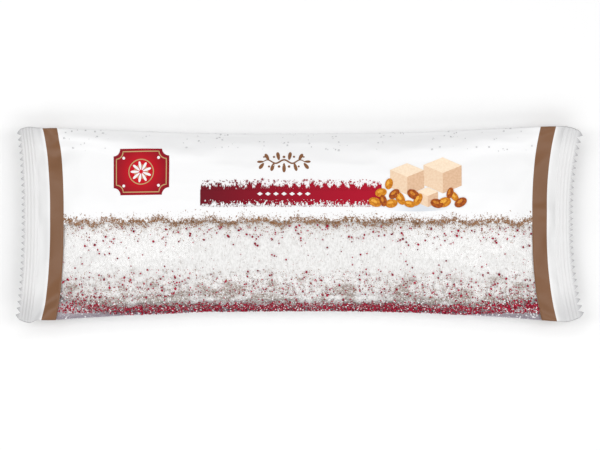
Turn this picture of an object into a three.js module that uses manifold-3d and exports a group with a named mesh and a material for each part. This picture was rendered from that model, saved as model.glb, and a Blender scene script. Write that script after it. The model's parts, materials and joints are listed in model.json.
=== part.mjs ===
// A stollen loaf sealed in its printed film pack, lying on its back with the shown side up.
//
// The pack is a tube of film round a long, low loaf. A seam runs along its back, and a crimped
// seal with a zigzag edge closes each end. The film keeps its girth everywhere: where the loaf
// lifts it, the pack is as much narrower as the film over the top is longer. So each cross
// section is worked out from one flat width.
//
// Millimetres. +X runs along the pack, +Y across it and +Z up. The origin is on the table,
// under the middle of the pack.

import * as THREE from "three";
import { mergeVertices } from "three/addons/utils/BufferGeometryUtils.js";
import Module from "manifold-3d";

// Driving dimensions

const PACK_LENGTH = 385; // over the teeth, at the sides
const FLAT_WIDTH = 133; // the film tube pressed flat, from fold to fold
const CROWN_HEIGHT = 21.5; // the top of the pack above the plane of its end seals
const SEAL_HEIGHT = 14; // the plane of the end seals above the table

const SEAL_DEPTH = 13; // each end seal, with its teeth
const SEAL_THICKNESS = 0.8;
const SEAL_DROOP = 3; // the end seals sag by this much at their outer edge
const SEAL_TAPER = 2; // and each of their sides is drawn in by this much
const TOOTH_DEPTH = 3.4;
const TOOTH_COUNT = 29;
const CRIMP_COUNT = 4; // ridges pressed across each end seal
const CRIMP_RISE = 0.35;

const LEFT_HOLLOW = 3.2; // how far the loaf pulls the middle of the left end inwards
const RIGHT_HOLLOW = 5.6;
const HOLLOW_REACH = 45; // how quickly that fades towards the middle of the pack

const BACK_SEAM_WIDTH = 12; // the seam along the back, folded flat
const BACK_SEAM_RISE = 0.4; // it stands proud of the film by this much
const BACK_SEAM_ROOT = 0.3; // and is let into it by this much

// How the section of the pack changes from the end seals to the middle of the loaf

const CROWN_REACH = 20; // length in which the film rises to most of its height
const CROWN_POWER = 0.62;
const BELLY_REACH = 10; // length in which its underside drops to the table
const BELLY_POWER = 0.65;
const BELLY_FLAT_FROM = 70; // from here on the underside lies on the table
const ROUNDING_REACH = 80; // length in which the thin lens section becomes a round one
const CROWN_ROUNDNESS = { width: 2.2, side: 0.47 };
const BELLY_ROUNDNESS = { width: 3.4, side: 0.34 };

// Small folds in the film where the seals gather it

const GATHER_HEIGHT = 0.8;
const GATHER_SPACING = 19;
const GATHER_REACH = 9;
const CORNER_FOLD_DEPTH = 2.2; // a soft dent that runs inwards from each corner
const CORNER_FOLD_LENGTH = 46;
const CORNER_FOLD_WIDTH = 6;
const CORNER_FOLD_SLOPE = 0.8; // how much it runs across for each millimetre along

// How finely the surfaces are divided

const BODY_RINGS = 54;
const FIRST_RING = 1.6; // the first ring of the body, counted from the seal
const ARC_SAMPLES = 180;
const GIRTH_STEPS = 24;

const BODY_HALF = PACK_LENGTH / 2 - SEAL_DEPTH; // from the middle to where an end seal starts
const BELLY_DEPTH = SEAL_HEIGHT - BACK_SEAM_RISE;
const LAST_TOOTH = 1 - 1 / TOOTH_COUNT; // the tip of the last tooth, as a share of the half width

const { clamp, lerp, smoothstep } = THREE.MathUtils;

// A rise from 0 that is quick at first and then slower and slower.
function settle(distance, reach, power) {
  return 1 - Math.exp(-Math.pow(distance / reach, power));
}

// How far the film stands above the plane of the seals, at a distance from the nearer seal.
function crownHeight(distance) {
  const atMiddle = settle(BODY_HALF, CROWN_REACH, CROWN_POWER);
  return (CROWN_HEIGHT * settle(distance, CROWN_REACH, CROWN_POWER)) / atMiddle;
}

// How far it hangs below that plane.
function bellyDepth(distance) {
  const atTable = settle(BELLY_FLAT_FROM, BELLY_REACH, BELLY_POWER);
  const depth = settle(distance, BELLY_REACH, BELLY_POWER) / atTable;
  return BELLY_DEPTH * clamp(depth, 0, 1);
}

// The height of a section at a place across it, from 0 at the side folds to 1. Near a seal it
// is a thin lens, and further in it has round sides.
function sectionShape(across, distance, roundness) {
  const round = 1 - Math.exp(-distance / ROUNDING_REACH);
  const width = lerp(2, roundness.width, round);
  const side = lerp(1, roundness.side, round);
  const inside = 1 - Math.pow(Math.min(Math.abs(across), 1), width);
  return Math.pow(inside, side);
}

// One sheet of a section, from the -Y fold to the +Y fold, as points { y, z }.
function sheetPoints(halfWidth, height, distance, roundness) {
  const points = [];
  for (let i = 0; i <= ARC_SAMPLES; i += 1) {
    const across = -Math.cos((Math.PI * i) / ARC_SAMPLES);
    const z = height * sectionShape(across, distance, roundness);
    points.push({ y: halfWidth * across, z });
  }
  return points;
}

function sheetLength(points) {
  let length = 0;
  for (let i = 1; i < points.length; i += 1) {
    length += Math.hypot(points[i].y - points[i - 1].y, points[i].z - points[i - 1].z);
  }
  return length;
}

// The half width at which the film round a section has the girth of the flat tube.
function halfWidthAt(distance) {
  const crown = crownHeight(distance);
  const belly = bellyDepth(distance);
  let low = FLAT_WIDTH / 4;
  let high = FLAT_WIDTH / 2;
  for (let i = 0; i < GIRTH_STEPS; i += 1) {
    const halfWidth = (low + high) / 2;
    const top = sheetLength(sheetPoints(halfWidth, crown, distance, CROWN_ROUNDNESS));
    const under = sheetLength(sheetPoints(halfWidth, belly, distance, BELLY_ROUNDNESS));
    if (top + under > 2 * FLAT_WIDTH) {
      high = halfWidth;
    } else {
      low = halfWidth;
    }
  }
  return low;
}

// Points at equal steps along a sheet, one for each side of a tooth.
function evenPoints(points) {
  const step = sheetLength(points) / TOOTH_COUNT;
  const even = [points[0]];
  let walked = 0;
  for (let i = 1; i < points.length; i += 1) {
    const from = points[i - 1];
    const to = points[i];
    const length = Math.hypot(to.y - from.y, to.z - from.z);
    while (even.length < TOOTH_COUNT && walked + length >= even.length * step) {
      const part = (even.length * step - walked) / length;
      even.push({ y: lerp(from.y, to.y, part), z: lerp(from.z, to.z, part) });
    }
    walked += length;
  }
  even.push(points[points.length - 1]);
  return even;
}

// How far a point of the film is pulled along the pack by the loaf: not at the last teeth, and
// most in the middle of the end.
function hollow(side, across, distance) {
  const depth = side < 0 ? LEFT_HOLLOW : RIGHT_HOLLOW;
  const offMiddle = clamp(across / LAST_TOOTH, -1, 1);
  const fade = Math.exp(-distance / HOLLOW_REACH);
  return -side * depth * (1 - offMiddle * offMiddle) * fade;
}

// The gathers beside a seal, which die out within a few millimetres.
function gather(side, y, distance) {
  const fade = (distance / GATHER_REACH) * Math.exp(1 - distance / GATHER_REACH);
  return GATHER_HEIGHT * fade * Math.sin((2 * Math.PI * y) / GATHER_SPACING + side);
}

// The soft dent that runs inwards from each corner of the upper sheet.
function cornerFold(y, halfWidth, distance) {
  const inwards = halfWidth - Math.abs(y);
  const offLine = (inwards - CORNER_FOLD_SLOPE * distance) / CORNER_FOLD_WIDTH;
  const fade = smoothstep(distance, 4, 16) * (1 - smoothstep(distance, 20, CORNER_FOLD_LENGTH));
  return -CORNER_FOLD_DEPTH * fade * Math.exp(-offLine * offLine);
}

// A closed ring of film: the upper sheet from -Y to +Y, then the lower one back again.
function closeRing(upper, under) {
  return [...upper, ...under.slice(1, -1).reverse()];
}

// The ring of the body at a distance from the seal on the side -1 or +1.
function bodyRing(side, distance) {
  const halfWidth = halfWidthAt(distance);
  const place = (point, z) => {
    const across = point.y / halfWidth;
    const x = side * (BODY_HALF - distance) + hollow(side, across, distance);
    return new THREE.Vector3(x, point.y, SEAL_HEIGHT + z);
  };
  const crown = sheetPoints(halfWidth, crownHeight(distance), distance, CROWN_ROUNDNESS);
  const upper = evenPoints(crown).map((point) => {
    const open = clamp(point.z / GATHER_HEIGHT / 2, 0, 1);
    const folds = gather(side, point.y, distance) + cornerFold(point.y, halfWidth, distance);
    return place(point, point.z + open * folds);
  });
  const belly = sheetPoints(halfWidth, bellyDepth(distance), distance, BELLY_ROUNDNESS);
  const under = evenPoints(belly).map((point) => {
    const open = clamp(point.z / GATHER_HEIGHT / 2, 0, 1);
    const offSeam = smoothstep(Math.abs(point.y), BACK_SEAM_WIDTH / 2, BACK_SEAM_WIDTH * 1.5);
    return place(point, open * offSeam * gather(side, point.y, distance) - point.z);
  });
  return closeRing(upper, under);
}

// How far the middle plane of an end seal lies above the table, outwards of its inner edge.
function sealPlane(outwards) {
  const part = outwards / SEAL_DEPTH;
  return SEAL_HEIGHT - SEAL_DROOP * part * part;
}

// The depth of the crimped part of a seal, up to the roots of its teeth.
const CRIMPED_DEPTH = SEAL_DEPTH - TOOTH_DEPTH;

function crimp(outwards) {
  return -CRIMP_RISE * Math.sin((2 * Math.PI * CRIMP_COUNT * outwards) / CRIMPED_DEPTH);
}

// A point of an end seal. across runs from -1 to 1, and z is above the seal's middle plane.
function sealPoint(side, outwards, across, z) {
  const halfWidth = FLAT_WIDTH / 2 - (SEAL_TAPER * outwards) / SEAL_DEPTH;
  const x = side * (BODY_HALF + outwards) + hollow(side, across, 0);
  const height = sealPlane(outwards) + crimp(Math.min(outwards, CRIMPED_DEPTH)) + z;
  return new THREE.Vector3(x, halfWidth * across, height);
}

function sealRing(side, outwards) {
  const upper = [];
  const under = [];
  for (let i = 0; i <= TOOTH_COUNT; i += 1) {
    const across = (2 * i) / TOOTH_COUNT - 1;
    const atFold = i === 0 || i === TOOTH_COUNT;
    const z = atFold ? 0 : SEAL_THICKNESS / 2;
    upper.push(sealPoint(side, outwards, across, z));
    under.push(sealPoint(side, outwards, across, -z));
  }
  return closeRing(upper, under);
}

// The distances of an end seal's rings, from the tooth roots inwards. Each ridge and each
// groove of the crimp has a ring along its top or its bottom.
function sealSteps() {
  const steps = [CRIMPED_DEPTH];
  const halfPitch = CRIMPED_DEPTH / CRIMP_COUNT / 2;
  for (let i = 2 * CRIMP_COUNT - 1; i >= 0; i -= 1) {
    steps.push((i + 0.5) * halfPitch);
  }
  steps.push(0);
  return steps;
}

// The distances of the body's rings from the nearer seal, closer together near the seals.
function bodyStations() {
  const stations = [];
  for (let i = 0; i < BODY_RINGS; i += 1) {
    const part = (2 * i) / (BODY_RINGS - 1) - 1;
    const side = part < 0 ? -1 : 1;
    const fromSeal = Math.pow(1 - Math.abs(part), 1.7);
    stations.push({ side, distance: lerp(FIRST_RING, BODY_HALF, fromSeal) });
  }
  return stations;
}

// Adds a ring's points to a list of positions.
function addRing(positions, ring) {
  for (const point of ring) {
    positions.push(point.x, point.y, point.z);
  }
}

// Joins ring after ring with two triangles a cell, facing outwards when the rings run along +X.
function addSkin(faces, ringCount, ringSize) {
  for (let ring = 0; ring < ringCount - 1; ring += 1) {
    for (let i = 0; i < ringSize; i += 1) {
      const next = (i + 1) % ringSize;
      const a = ring * ringSize + i;
      const b = ring * ringSize + next;
      const c = a + ringSize;
      const d = b + ringSize;
      faces.push(a, c, b, b, c, d);
    }
  }
}

// Closes an end with one pointed tooth for each cell across the seal.
function addTeeth(positions, faces, side, firstOfRing, ringSize) {
  const upper = (i) => firstOfRing + i;
  const under = (i) => firstOfRing + ((ringSize - i) % ringSize);
  const addFace = (a, b, c) => faces.push(...(side > 0 ? [a, b, c] : [a, c, b]));
  for (let i = 0; i < TOOTH_COUNT; i += 1) {
    const across = (2 * i + 1) / TOOTH_COUNT - 1;
    const tip = positions.length / 3;
    addRing(positions, [sealPoint(side, SEAL_DEPTH, across, 0)]);
    const last = i === TOOTH_COUNT - 1;
    const underNext = last ? upper(TOOTH_COUNT) : under(i + 1);
    addFace(upper(i), tip, upper(i + 1));
    addFace(underNext, tip, under(i));
    if (i > 0) {
      addFace(under(i), tip, upper(i));
    }
    if (!last) {
      addFace(upper(i + 1), tip, underNext);
    }
  }
}

// The film pack without its back seam, as one closed body.
function packBody() {
  const rings = [
    ...sealSteps().map((outwards) => sealRing(-1, outwards)),
    ...bodyStations().map(({ side, distance }) => bodyRing(side, distance)),
    ...sealSteps()
      .reverse()
      .map((outwards) => sealRing(1, outwards)),
  ];
  const ringSize = 2 * TOOTH_COUNT;
  const positions = [];
  const faces = [];
  rings.forEach((ring) => addRing(positions, ring));
  addSkin(faces, rings.length, ringSize);
  addTeeth(positions, faces, -1, 0, ringSize);
  addTeeth(positions, faces, 1, (rings.length - 1) * ringSize, ringSize);
  return meshGeometry(positions, faces);
}

// Four corners of the back seam where it crosses a plane of the pack.
function seamRing(place, lowest) {
  const half = BACK_SEAM_WIDTH / 2;
  const highest = lowest + BACK_SEAM_RISE + BACK_SEAM_ROOT;
  return [place(-half, highest), place(half, highest), place(half, lowest), place(-half, lowest)];
}

// The seam that runs along the back and through both end seals.
function backSeam() {
  const seamInSeal = (side, outwards) => {
    const place = (y, z) => {
      const point = sealPoint(side, outwards, (2 * y) / FLAT_WIDTH, 0);
      return new THREE.Vector3(point.x, y, point.z + z);
    };
    return seamRing(place, -SEAL_THICKNESS / 2 - BACK_SEAM_RISE);
  };
  const seamInBody = ({ side, distance }) => {
    const place = (y, z) => {
      const x = side * (BODY_HALF - distance) + hollow(side, (2 * y) / FLAT_WIDTH, distance);
      return new THREE.Vector3(x, y, SEAL_HEIGHT + z);
    };
    return seamRing(place, -bellyDepth(distance) - BACK_SEAM_RISE);
  };
  const sealRings = (side) => {
    return sealSteps()
      .slice(1)
      .map((outwards) => seamInSeal(side, outwards));
  };
  const rings = [...sealRings(-1), ...bodyStations().map(seamInBody), ...sealRings(1).reverse()];
  const positions = [];
  const faces = [];
  rings.forEach((ring) => addRing(positions, ring));
  addSkin(faces, rings.length, 4);
  const last = (rings.length - 1) * 4;
  faces.push(0, 1, 2, 0, 2, 3);
  faces.push(last, last + 2, last + 1, last, last + 3, last + 2);
  return meshGeometry(positions, faces);
}

function meshGeometry(positions, faces) {
  const geometry = new THREE.BufferGeometry();
  geometry.setAttribute("position", new THREE.Float32BufferAttribute(positions, 3));
  geometry.setIndex(faces);
  return mergeVertices(geometry);
}

// Joins two closed bodies into one.
function join(wasm, first, second) {
  const solid = (geometry) => {
    const vertProperties = new Float32Array(geometry.getAttribute("position").array);
    const triVerts = new Uint32Array(geometry.getIndex().array);
    return new wasm.Manifold(new wasm.Mesh({ numProp: 3, vertProperties, triVerts }));
  };
  const mesh = solid(first).add(solid(second)).getMesh();
  return meshGeometry(Array.from(mesh.vertProperties), Array.from(mesh.triVerts));
}

const wasm = await Module();
wasm.setup();

const film = new THREE.MeshStandardMaterial({ color: 0xf4f3f1, roughness: 0.35, metalness: 0 });
const pack = new THREE.Mesh(join(wasm, packBody(), backSeam()), film);
pack.name = "stollen_pack";

const model = new THREE.Group();
model.add(pack);

export default model;
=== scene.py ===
"""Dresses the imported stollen: a printed film pack drawn tight round a sugar-dusted loaf.

The pack is made the way the real one is. A flat web of film is closed to a pouch, opened by a little
pressure and then drawn down onto the loaf by cloth simulation. The settled pouch is read as a chart from
places on the flat web to places on the pack. Film, seams and print are modelled flat and laid through it.

Metres, in the frame of the CAD model: +X along the pack, +Y across it, +Z up.
"""

import json
import logging
import math
from dataclasses import dataclass, field
from enum import Enum
from typing import Callable, Sequence

import bpy
import numpy as np
from bpy.types import ID, Material, Node, NodeSocket, NodeTree, Object
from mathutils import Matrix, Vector, noise
from mathutils.bvhtree import BVHTree

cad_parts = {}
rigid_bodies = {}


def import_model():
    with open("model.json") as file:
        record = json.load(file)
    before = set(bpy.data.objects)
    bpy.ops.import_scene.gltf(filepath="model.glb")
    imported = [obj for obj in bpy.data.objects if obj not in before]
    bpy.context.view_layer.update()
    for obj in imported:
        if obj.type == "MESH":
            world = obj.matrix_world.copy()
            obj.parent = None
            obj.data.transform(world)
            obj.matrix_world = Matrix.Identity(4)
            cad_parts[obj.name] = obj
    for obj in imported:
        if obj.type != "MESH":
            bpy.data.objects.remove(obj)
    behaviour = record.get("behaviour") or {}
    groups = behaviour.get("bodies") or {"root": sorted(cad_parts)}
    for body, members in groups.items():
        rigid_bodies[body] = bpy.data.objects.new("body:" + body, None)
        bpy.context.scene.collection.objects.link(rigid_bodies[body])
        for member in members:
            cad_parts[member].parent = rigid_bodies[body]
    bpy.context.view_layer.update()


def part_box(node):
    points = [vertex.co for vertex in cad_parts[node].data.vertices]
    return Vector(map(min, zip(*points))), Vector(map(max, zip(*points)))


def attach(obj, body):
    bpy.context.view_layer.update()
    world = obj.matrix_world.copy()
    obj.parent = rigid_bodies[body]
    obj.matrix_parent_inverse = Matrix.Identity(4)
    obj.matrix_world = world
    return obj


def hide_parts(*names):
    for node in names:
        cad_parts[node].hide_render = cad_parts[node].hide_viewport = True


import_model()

MM = 0.001
PACK_NODE = "stollen_pack"
BODY = "root"
WEB_UV = "web"

# What the swell of a filled pack takes up of its flat film, along it and across it.
LENGTH_TAKEN_UP = 1.017
WIDTH_TAKEN_UP = 1.012

# Points that lie closer than this are one.
TOUCHING = 1e-6

Array = np.ndarray
Pair = tuple[float, float]
Place = Pair
Spot = tuple[float, float, float]
Colour = tuple[float, float, float, float]

LOG = logging.getLogger("stollen")


class Sheet(Enum):
    """The two sheets of the flat pouch."""

    UPPER = 1
    LOWER = -1


# --- Helpers ---


def select_only(obj: Object) -> None:
    """Selects one object alone and makes it active."""
    for other in bpy.context.view_layer.objects:
        other.select_set(False)
    obj.select_set(True)
    bpy.context.view_layer.objects.active = obj


def start_primitive(add: Callable[..., set], name: str, **options: object) -> Object:
    """Adds a primitive with nothing else selected.

    Args:
        add: The operator that adds it.
        name: Its name.
        options: The operator's own options.

    Returns:
        The new object.
    """
    bpy.ops.object.select_all(action="DESELECT")
    add(**options)
    obj = bpy.context.object
    obj.name = name
    obj.data.name = name
    return obj


def start_grid(name: str, columns: int, rows: int) -> Object:
    """Adds a flat grid of side 1 about the origin, with its columns along x and its rows along y."""
    add = bpy.ops.mesh.primitive_grid_add
    return start_primitive(add, name, x_subdivisions=columns, y_subdivisions=rows, size=1)


def coordinates(obj: Object) -> Array:
    """Returns an object's vertices as rows of x, y and z."""
    values = np.empty(3 * len(obj.data.vertices))
    obj.data.vertices.foreach_get("co", values)
    return values.reshape(-1, 3)


def set_coordinates(obj: Object, points: Array) -> None:
    """Moves an object's vertices to new places, one row of x, y and z for each."""
    obj.data.vertices.foreach_set("co", np.ascontiguousarray(points, dtype=float).ravel())
    obj.data.update()


def apply_modifier(obj: Object, kind: str, **settings: object) -> None:
    """Adds a modifier, sets it up and applies it.

    Args:
        obj: The object.
        kind: The modifier's type.
        settings: Its properties by name.
    """
    modifier = obj.modifiers.new(kind.lower(), kind)
    for key, value in settings.items():
        setattr(modifier, key, value)
    select_only(obj)
    bpy.ops.object.modifier_apply(modifier=modifier.name)


def edit_selected(obj: Object, faces: Array, *steps: Callable[[], object]) -> None:
    """Runs mesh operators on chosen faces.

    Args:
        obj: The object.
        faces: True for each face that the operators work on.
        steps: The operators, called in order.
    """
    select_only(obj)
    bpy.ops.object.mode_set(mode="EDIT")
    bpy.ops.mesh.select_mode(type="FACE")
    bpy.ops.mesh.select_all(action="DESELECT")
    bpy.ops.object.mode_set(mode="OBJECT")
    obj.data.polygons.foreach_set("select", faces)
    bpy.ops.object.mode_set(mode="EDIT")
    for step in steps:
        step()
    bpy.ops.object.mode_set(mode="OBJECT")


def edit_all(obj: Object, *steps: Callable[[], object]) -> None:
    """Runs mesh operators on a whole mesh, in order."""
    edit_selected(obj, np.ones(len(obj.data.polygons), dtype=bool), *steps)


def face_centres(obj: Object) -> Array:
    """Returns the middle of each face."""
    values = np.empty(3 * len(obj.data.polygons))
    obj.data.polygons.foreach_get("center", values)
    return values.reshape(-1, 3)


def smoothstep(low: float, high: float, value: Array) -> Array:
    """Returns a smooth step for each value, from 0 at low to 1 at high."""
    part = np.clip((value - low) / (high - low), 0, 1)
    return part * part * (3 - 2 * part)


# --- The web and its chart ---


@dataclass(frozen=True)
class Fold:
    """A soft fold pressed up in the film.

    Attributes:
        start: Where it starts, along and round the web.
        end: Where it ends.
        sag: How far its middle lies off the straight line, round the web.
        rise: Its height at the middle.
        width: Half its width.
    """

    start: Place
    end: Place
    sag: float = 0.0
    rise: float = 0.7 * MM
    width: float = 1.5 * MM

    def lift(self, along: Array, around: Array) -> Array:
        """Gives its height.

        Args:
            along: Places along the web.
            around: Places round it.

        Returns:
            The height above the film at each place.
        """
        share = (along - self.start[0]) / (self.end[0] - self.start[0])
        arch = np.clip(4 * share * (1 - share), 0, 1)
        crest = self.start[1] + (self.end[1] - self.start[1]) * share + self.sag * arch
        return self.rise * arch * np.exp(-(((around - crest) / self.width) ** 2))


@dataclass(frozen=True)
class Web:
    """The film as it is cut: a tube pressed flat, with a crimped seal across each end.

    Attributes:
        length: From tooth tip to tooth tip along the flat tube.
        width: From fold to fold across it.
        seal_depth: Each end seal, with its teeth.
        tooth_depth: The zigzag edge of each seal.
        tooth_count: Teeth across each seal.
        crimp_count: Ridges pressed across each seal.
        crimp_rise: Their height above and below the seal's plane.
        left_hollow: How far the left end is drawn in, at its teeth and its band.
        right_hollow: The same at the right end.
        hollow_turn: Where the depth of the band is reached, inwards from a seal.
        hollow_full: Where the hollow starts to fade.
        hollow_reach: How slowly it fades.
        hollow_fullness: How broad it is across the pack.
        seal_taper: How far a seal's outer corners are drawn in.
        seal_height: The plane of the end seals above the table.
        thickness: The film's own thickness.
        bow: How far both ends bend towards the lower edge of the print.
        seam_rise: How far the back seam lifts the film off the table.
        folds: The soft folds where the film is drawn tight.
    """

    length: float
    width: float
    seal_depth: float = 13 * MM
    tooth_depth: float = 3.4 * MM
    tooth_count: int = 29
    crimp_count: int = 4
    crimp_rise: float = 0.28 * MM
    left_hollow: Pair = (3.8 * MM, 5.8 * MM)
    right_hollow: Pair = (7.4 * MM, 6.6 * MM)
    hollow_turn: float = 12 * MM
    hollow_full: float = 16 * MM
    hollow_reach: float = 45 * MM
    hollow_fullness: float = 2.5
    seal_taper: float = 4.4 * MM
    seal_height: float = 14 * MM
    thickness: float = 0.12 * MM
    bow: float = 1.3 * MM
    seam_rise: float = 0.42 * MM
    folds: tuple[Fold, ...] = (
        Fold((-176 * MM, -60 * MM), (84 * MM, -57 * MM), 4.0 * MM, 1.2 * MM, 1.4 * MM),
        Fold((56 * MM, -58 * MM), (150 * MM, -62 * MM), 1.0 * MM, 0.8 * MM),
        Fold((112 * MM, -52 * MM), (168 * MM, -60 * MM), 1.0 * MM, 0.6 * MM),
        Fold((-171 * MM, 56 * MM), (-128 * MM, 60 * MM), 0.0, 0.5 * MM, 3 * MM),
        Fold((120 * MM, 58 * MM), (170 * MM, 50 * MM), 0.0, 0.5 * MM, 3 * MM),
    )

    @property
    def body_half(self) -> float:
        """From the middle of the tube to where an end seal starts."""
        return self.length / 2 - self.seal_depth

    @property
    def crimped_depth(self) -> float:
        """The depth of a seal up to the roots of its teeth."""
        return self.seal_depth - self.tooth_depth

    def crimp(self, along: Array) -> Array:
        """Gives the height of the ridges pressed into the end seals.

        Args:
            along: Places along the web.

        Returns:
            Their height above the seal's plane.
        """
        outwards = np.abs(along) - self.body_half
        wave = np.sin(2 * math.pi * self.crimp_count * outwards / self.crimped_depth)
        inside = (outwards > 0) & (outwards < self.crimped_depth)
        return np.where(inside, -self.crimp_rise * wave, 0.0)

    def hollow(self, along: Array, across: Array) -> Array:
        """Gives how far the hollow ends move a place along the pack.

        Args:
            along: Distances along the pack from its middle.
            across: Distances across it from its middle line.

        Returns:
            The move along the pack.
        """
        inwards = self.body_half - np.abs(along)
        outer, inner = (np.where(along < 0, *pair) for pair in zip(self.left_hollow, self.right_hollow))
        depth = outer + (inner - outer) * smoothstep(-self.seal_depth, self.hollow_turn, inwards)
        share = 1 - np.minimum(np.abs(2 * across / self.width), 1) ** self.hollow_fullness
        fade = np.exp(-np.maximum(inwards - self.hollow_full, 0) / self.hollow_reach)
        return -np.sign(along) * depth * share * fade

    def fold_lift(self, along: Array, around: Array) -> Array:
        """Gives the height of all the folds at places along and round the web."""
        beside = np.where(around > self.width, around - 2 * self.width, around)
        return sum(fold.lift(along, beside) for fold in self.folds)


class FilmChart:
    """The settled film: a smooth map from the flat web to the pack.

    A place on the web is given by how far it lies along the pack, and how far round it from the middle of
    the shown side. The side folds lie half a width round, and the seam on the back lies a whole width round.
    """

    def __init__(self, web: Web, net: Array) -> None:
        """Fits a cubic surface through a net of points.

        Args:
            web: The film's sizes.
            net: Points of the film, row by row along the pack, each row once round it.
        """
        self.web = web
        self.rows = len(net) - 1
        self.columns = net.shape[1]
        knots = self._through(net, closed=False)
        knots = self._through(knots.swapaxes(0, 1), closed=True).swapaxes(0, 1)
        before = 2 * knots[:1] - knots[1:2]
        after = 2 * knots[-1:] - knots[-2:-1]
        self.net = np.concatenate([before, knots, after])

    def place(self, along: Array, around: Array, lift: Array) -> Array:
        """Lays places of the web on the pack.

        Args:
            along: Distances along the web from its middle.
            around: Distances round it from the middle of the shown side.
            lift: Heights above the film.

        Returns:
            One row of x, y and z for each place.
        """
        row_place = np.clip(along / self.web.length + 0.5, 0, 1) * self.rows
        row = np.minimum(row_place.astype(int), self.rows - 1)
        column_place = (around / (2 * self.web.width) + 0.25) * self.columns
        column = np.floor(column_place).astype(int)
        row_weights, row_slopes = self._spline(row_place - row)
        column_weights, column_slopes = self._spline(column_place - column)
        point = np.zeros((len(row), 3))
        lengthwise = np.zeros_like(point)
        crosswise = np.zeros_like(point)
        for i in range(4):
            for k in range(4):
                knot = self.net[row + i, (column + k - 1) % self.columns]
                point += (row_weights[i] * column_weights[k])[:, None] * knot
                lengthwise += (row_slopes[i] * column_weights[k])[:, None] * knot
                crosswise += (row_weights[i] * column_slopes[k])[:, None] * knot
        normal = np.cross(lengthwise, crosswise)
        normal /= np.maximum(np.linalg.norm(normal, axis=1), 1e-12)[:, None]
        point += normal * (lift + self.web.fold_lift(along, around))[:, None]
        point[:, 2] += self.web.crimp(along)
        return point

    def lay(self, obj: Object, lift: float = 0.0) -> None:
        """Lays a flat piece on the pack, and keeps its flat places as a UV map.

        Args:
            obj: The piece, with x along the web, y round it and z above it.
            lift: A height above the film that is added to its own.
        """
        flat = coordinates(obj)
        corners = np.empty(len(obj.data.loops), dtype=np.int32)
        obj.data.loops.foreach_get("vertex_index", corners)
        layer = obj.data.uv_layers.get(WEB_UV) or obj.data.uv_layers.new(name=WEB_UV)
        layer.data.foreach_set("uv", np.ascontiguousarray(flat[corners, :2]).ravel())
        set_coordinates(obj, self.place(flat[:, 0], flat[:, 1], flat[:, 2] + lift))

    def surface(self) -> BVHTree:
        """Returns the film as a surface that rays can be cast at."""
        around_count = 2 * self.columns
        along = np.linspace(-0.5, 0.5, self.rows + 1) * self.web.length
        around = (np.arange(around_count) / self.columns - 0.5) * self.web.width
        grid = np.meshgrid(along, around, indexing="ij")
        points = self.place(grid[0].ravel(), grid[1].ravel(), np.zeros(grid[0].size))
        index = np.arange(len(points)).reshape(-1, around_count)
        beside = np.roll(index, -1, axis=1)
        faces = np.stack([index[:-1], index[1:], beside[1:], beside[:-1]], axis=2).reshape(-1, 4)
        return BVHTree.FromPolygons(points.tolist(), faces.tolist())

    @staticmethod
    def _through(points: Array, closed: bool) -> Array:
        """Finds the knots of cubic splines that pass through points.

        Args:
            points: The points, in order along the first axis.
            closed: True where the last point is followed by the first.

        Returns:
            One knot for each point.
        """
        count = len(points)
        weights = (4 * np.eye(count) + np.eye(count, k=1) + np.eye(count, k=-1)) / 6
        if closed:
            weights[0, -1] = weights[-1, 0] = 1 / 6
        else:
            weights[0, :2] = weights[-1, -2:] = 0
            weights[0, 0] = weights[-1, -1] = 1
        return np.linalg.solve(weights, points.reshape(count, -1)).reshape(points.shape)

    @staticmethod
    def _spline(part: Array) -> tuple[list[Array], list[Array]]:
        """Returns the weights and slopes of a uniform cubic spline's four knots."""
        rest = 1 - part
        weights = [
            rest**3 / 6,
            (3 * part**3 - 6 * part**2 + 4) / 6,
            (3 * rest**3 - 6 * rest**2 + 4) / 6,
            part**3 / 6,
        ]
        slopes = [
            -(rest**2) / 2,
            (3 * part**2 - 4 * part) / 2,
            (4 * rest - 3 * rest**2) / 2,
            part**2 / 2,
        ]
        return weights, slopes


# --- The loaf ---


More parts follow.
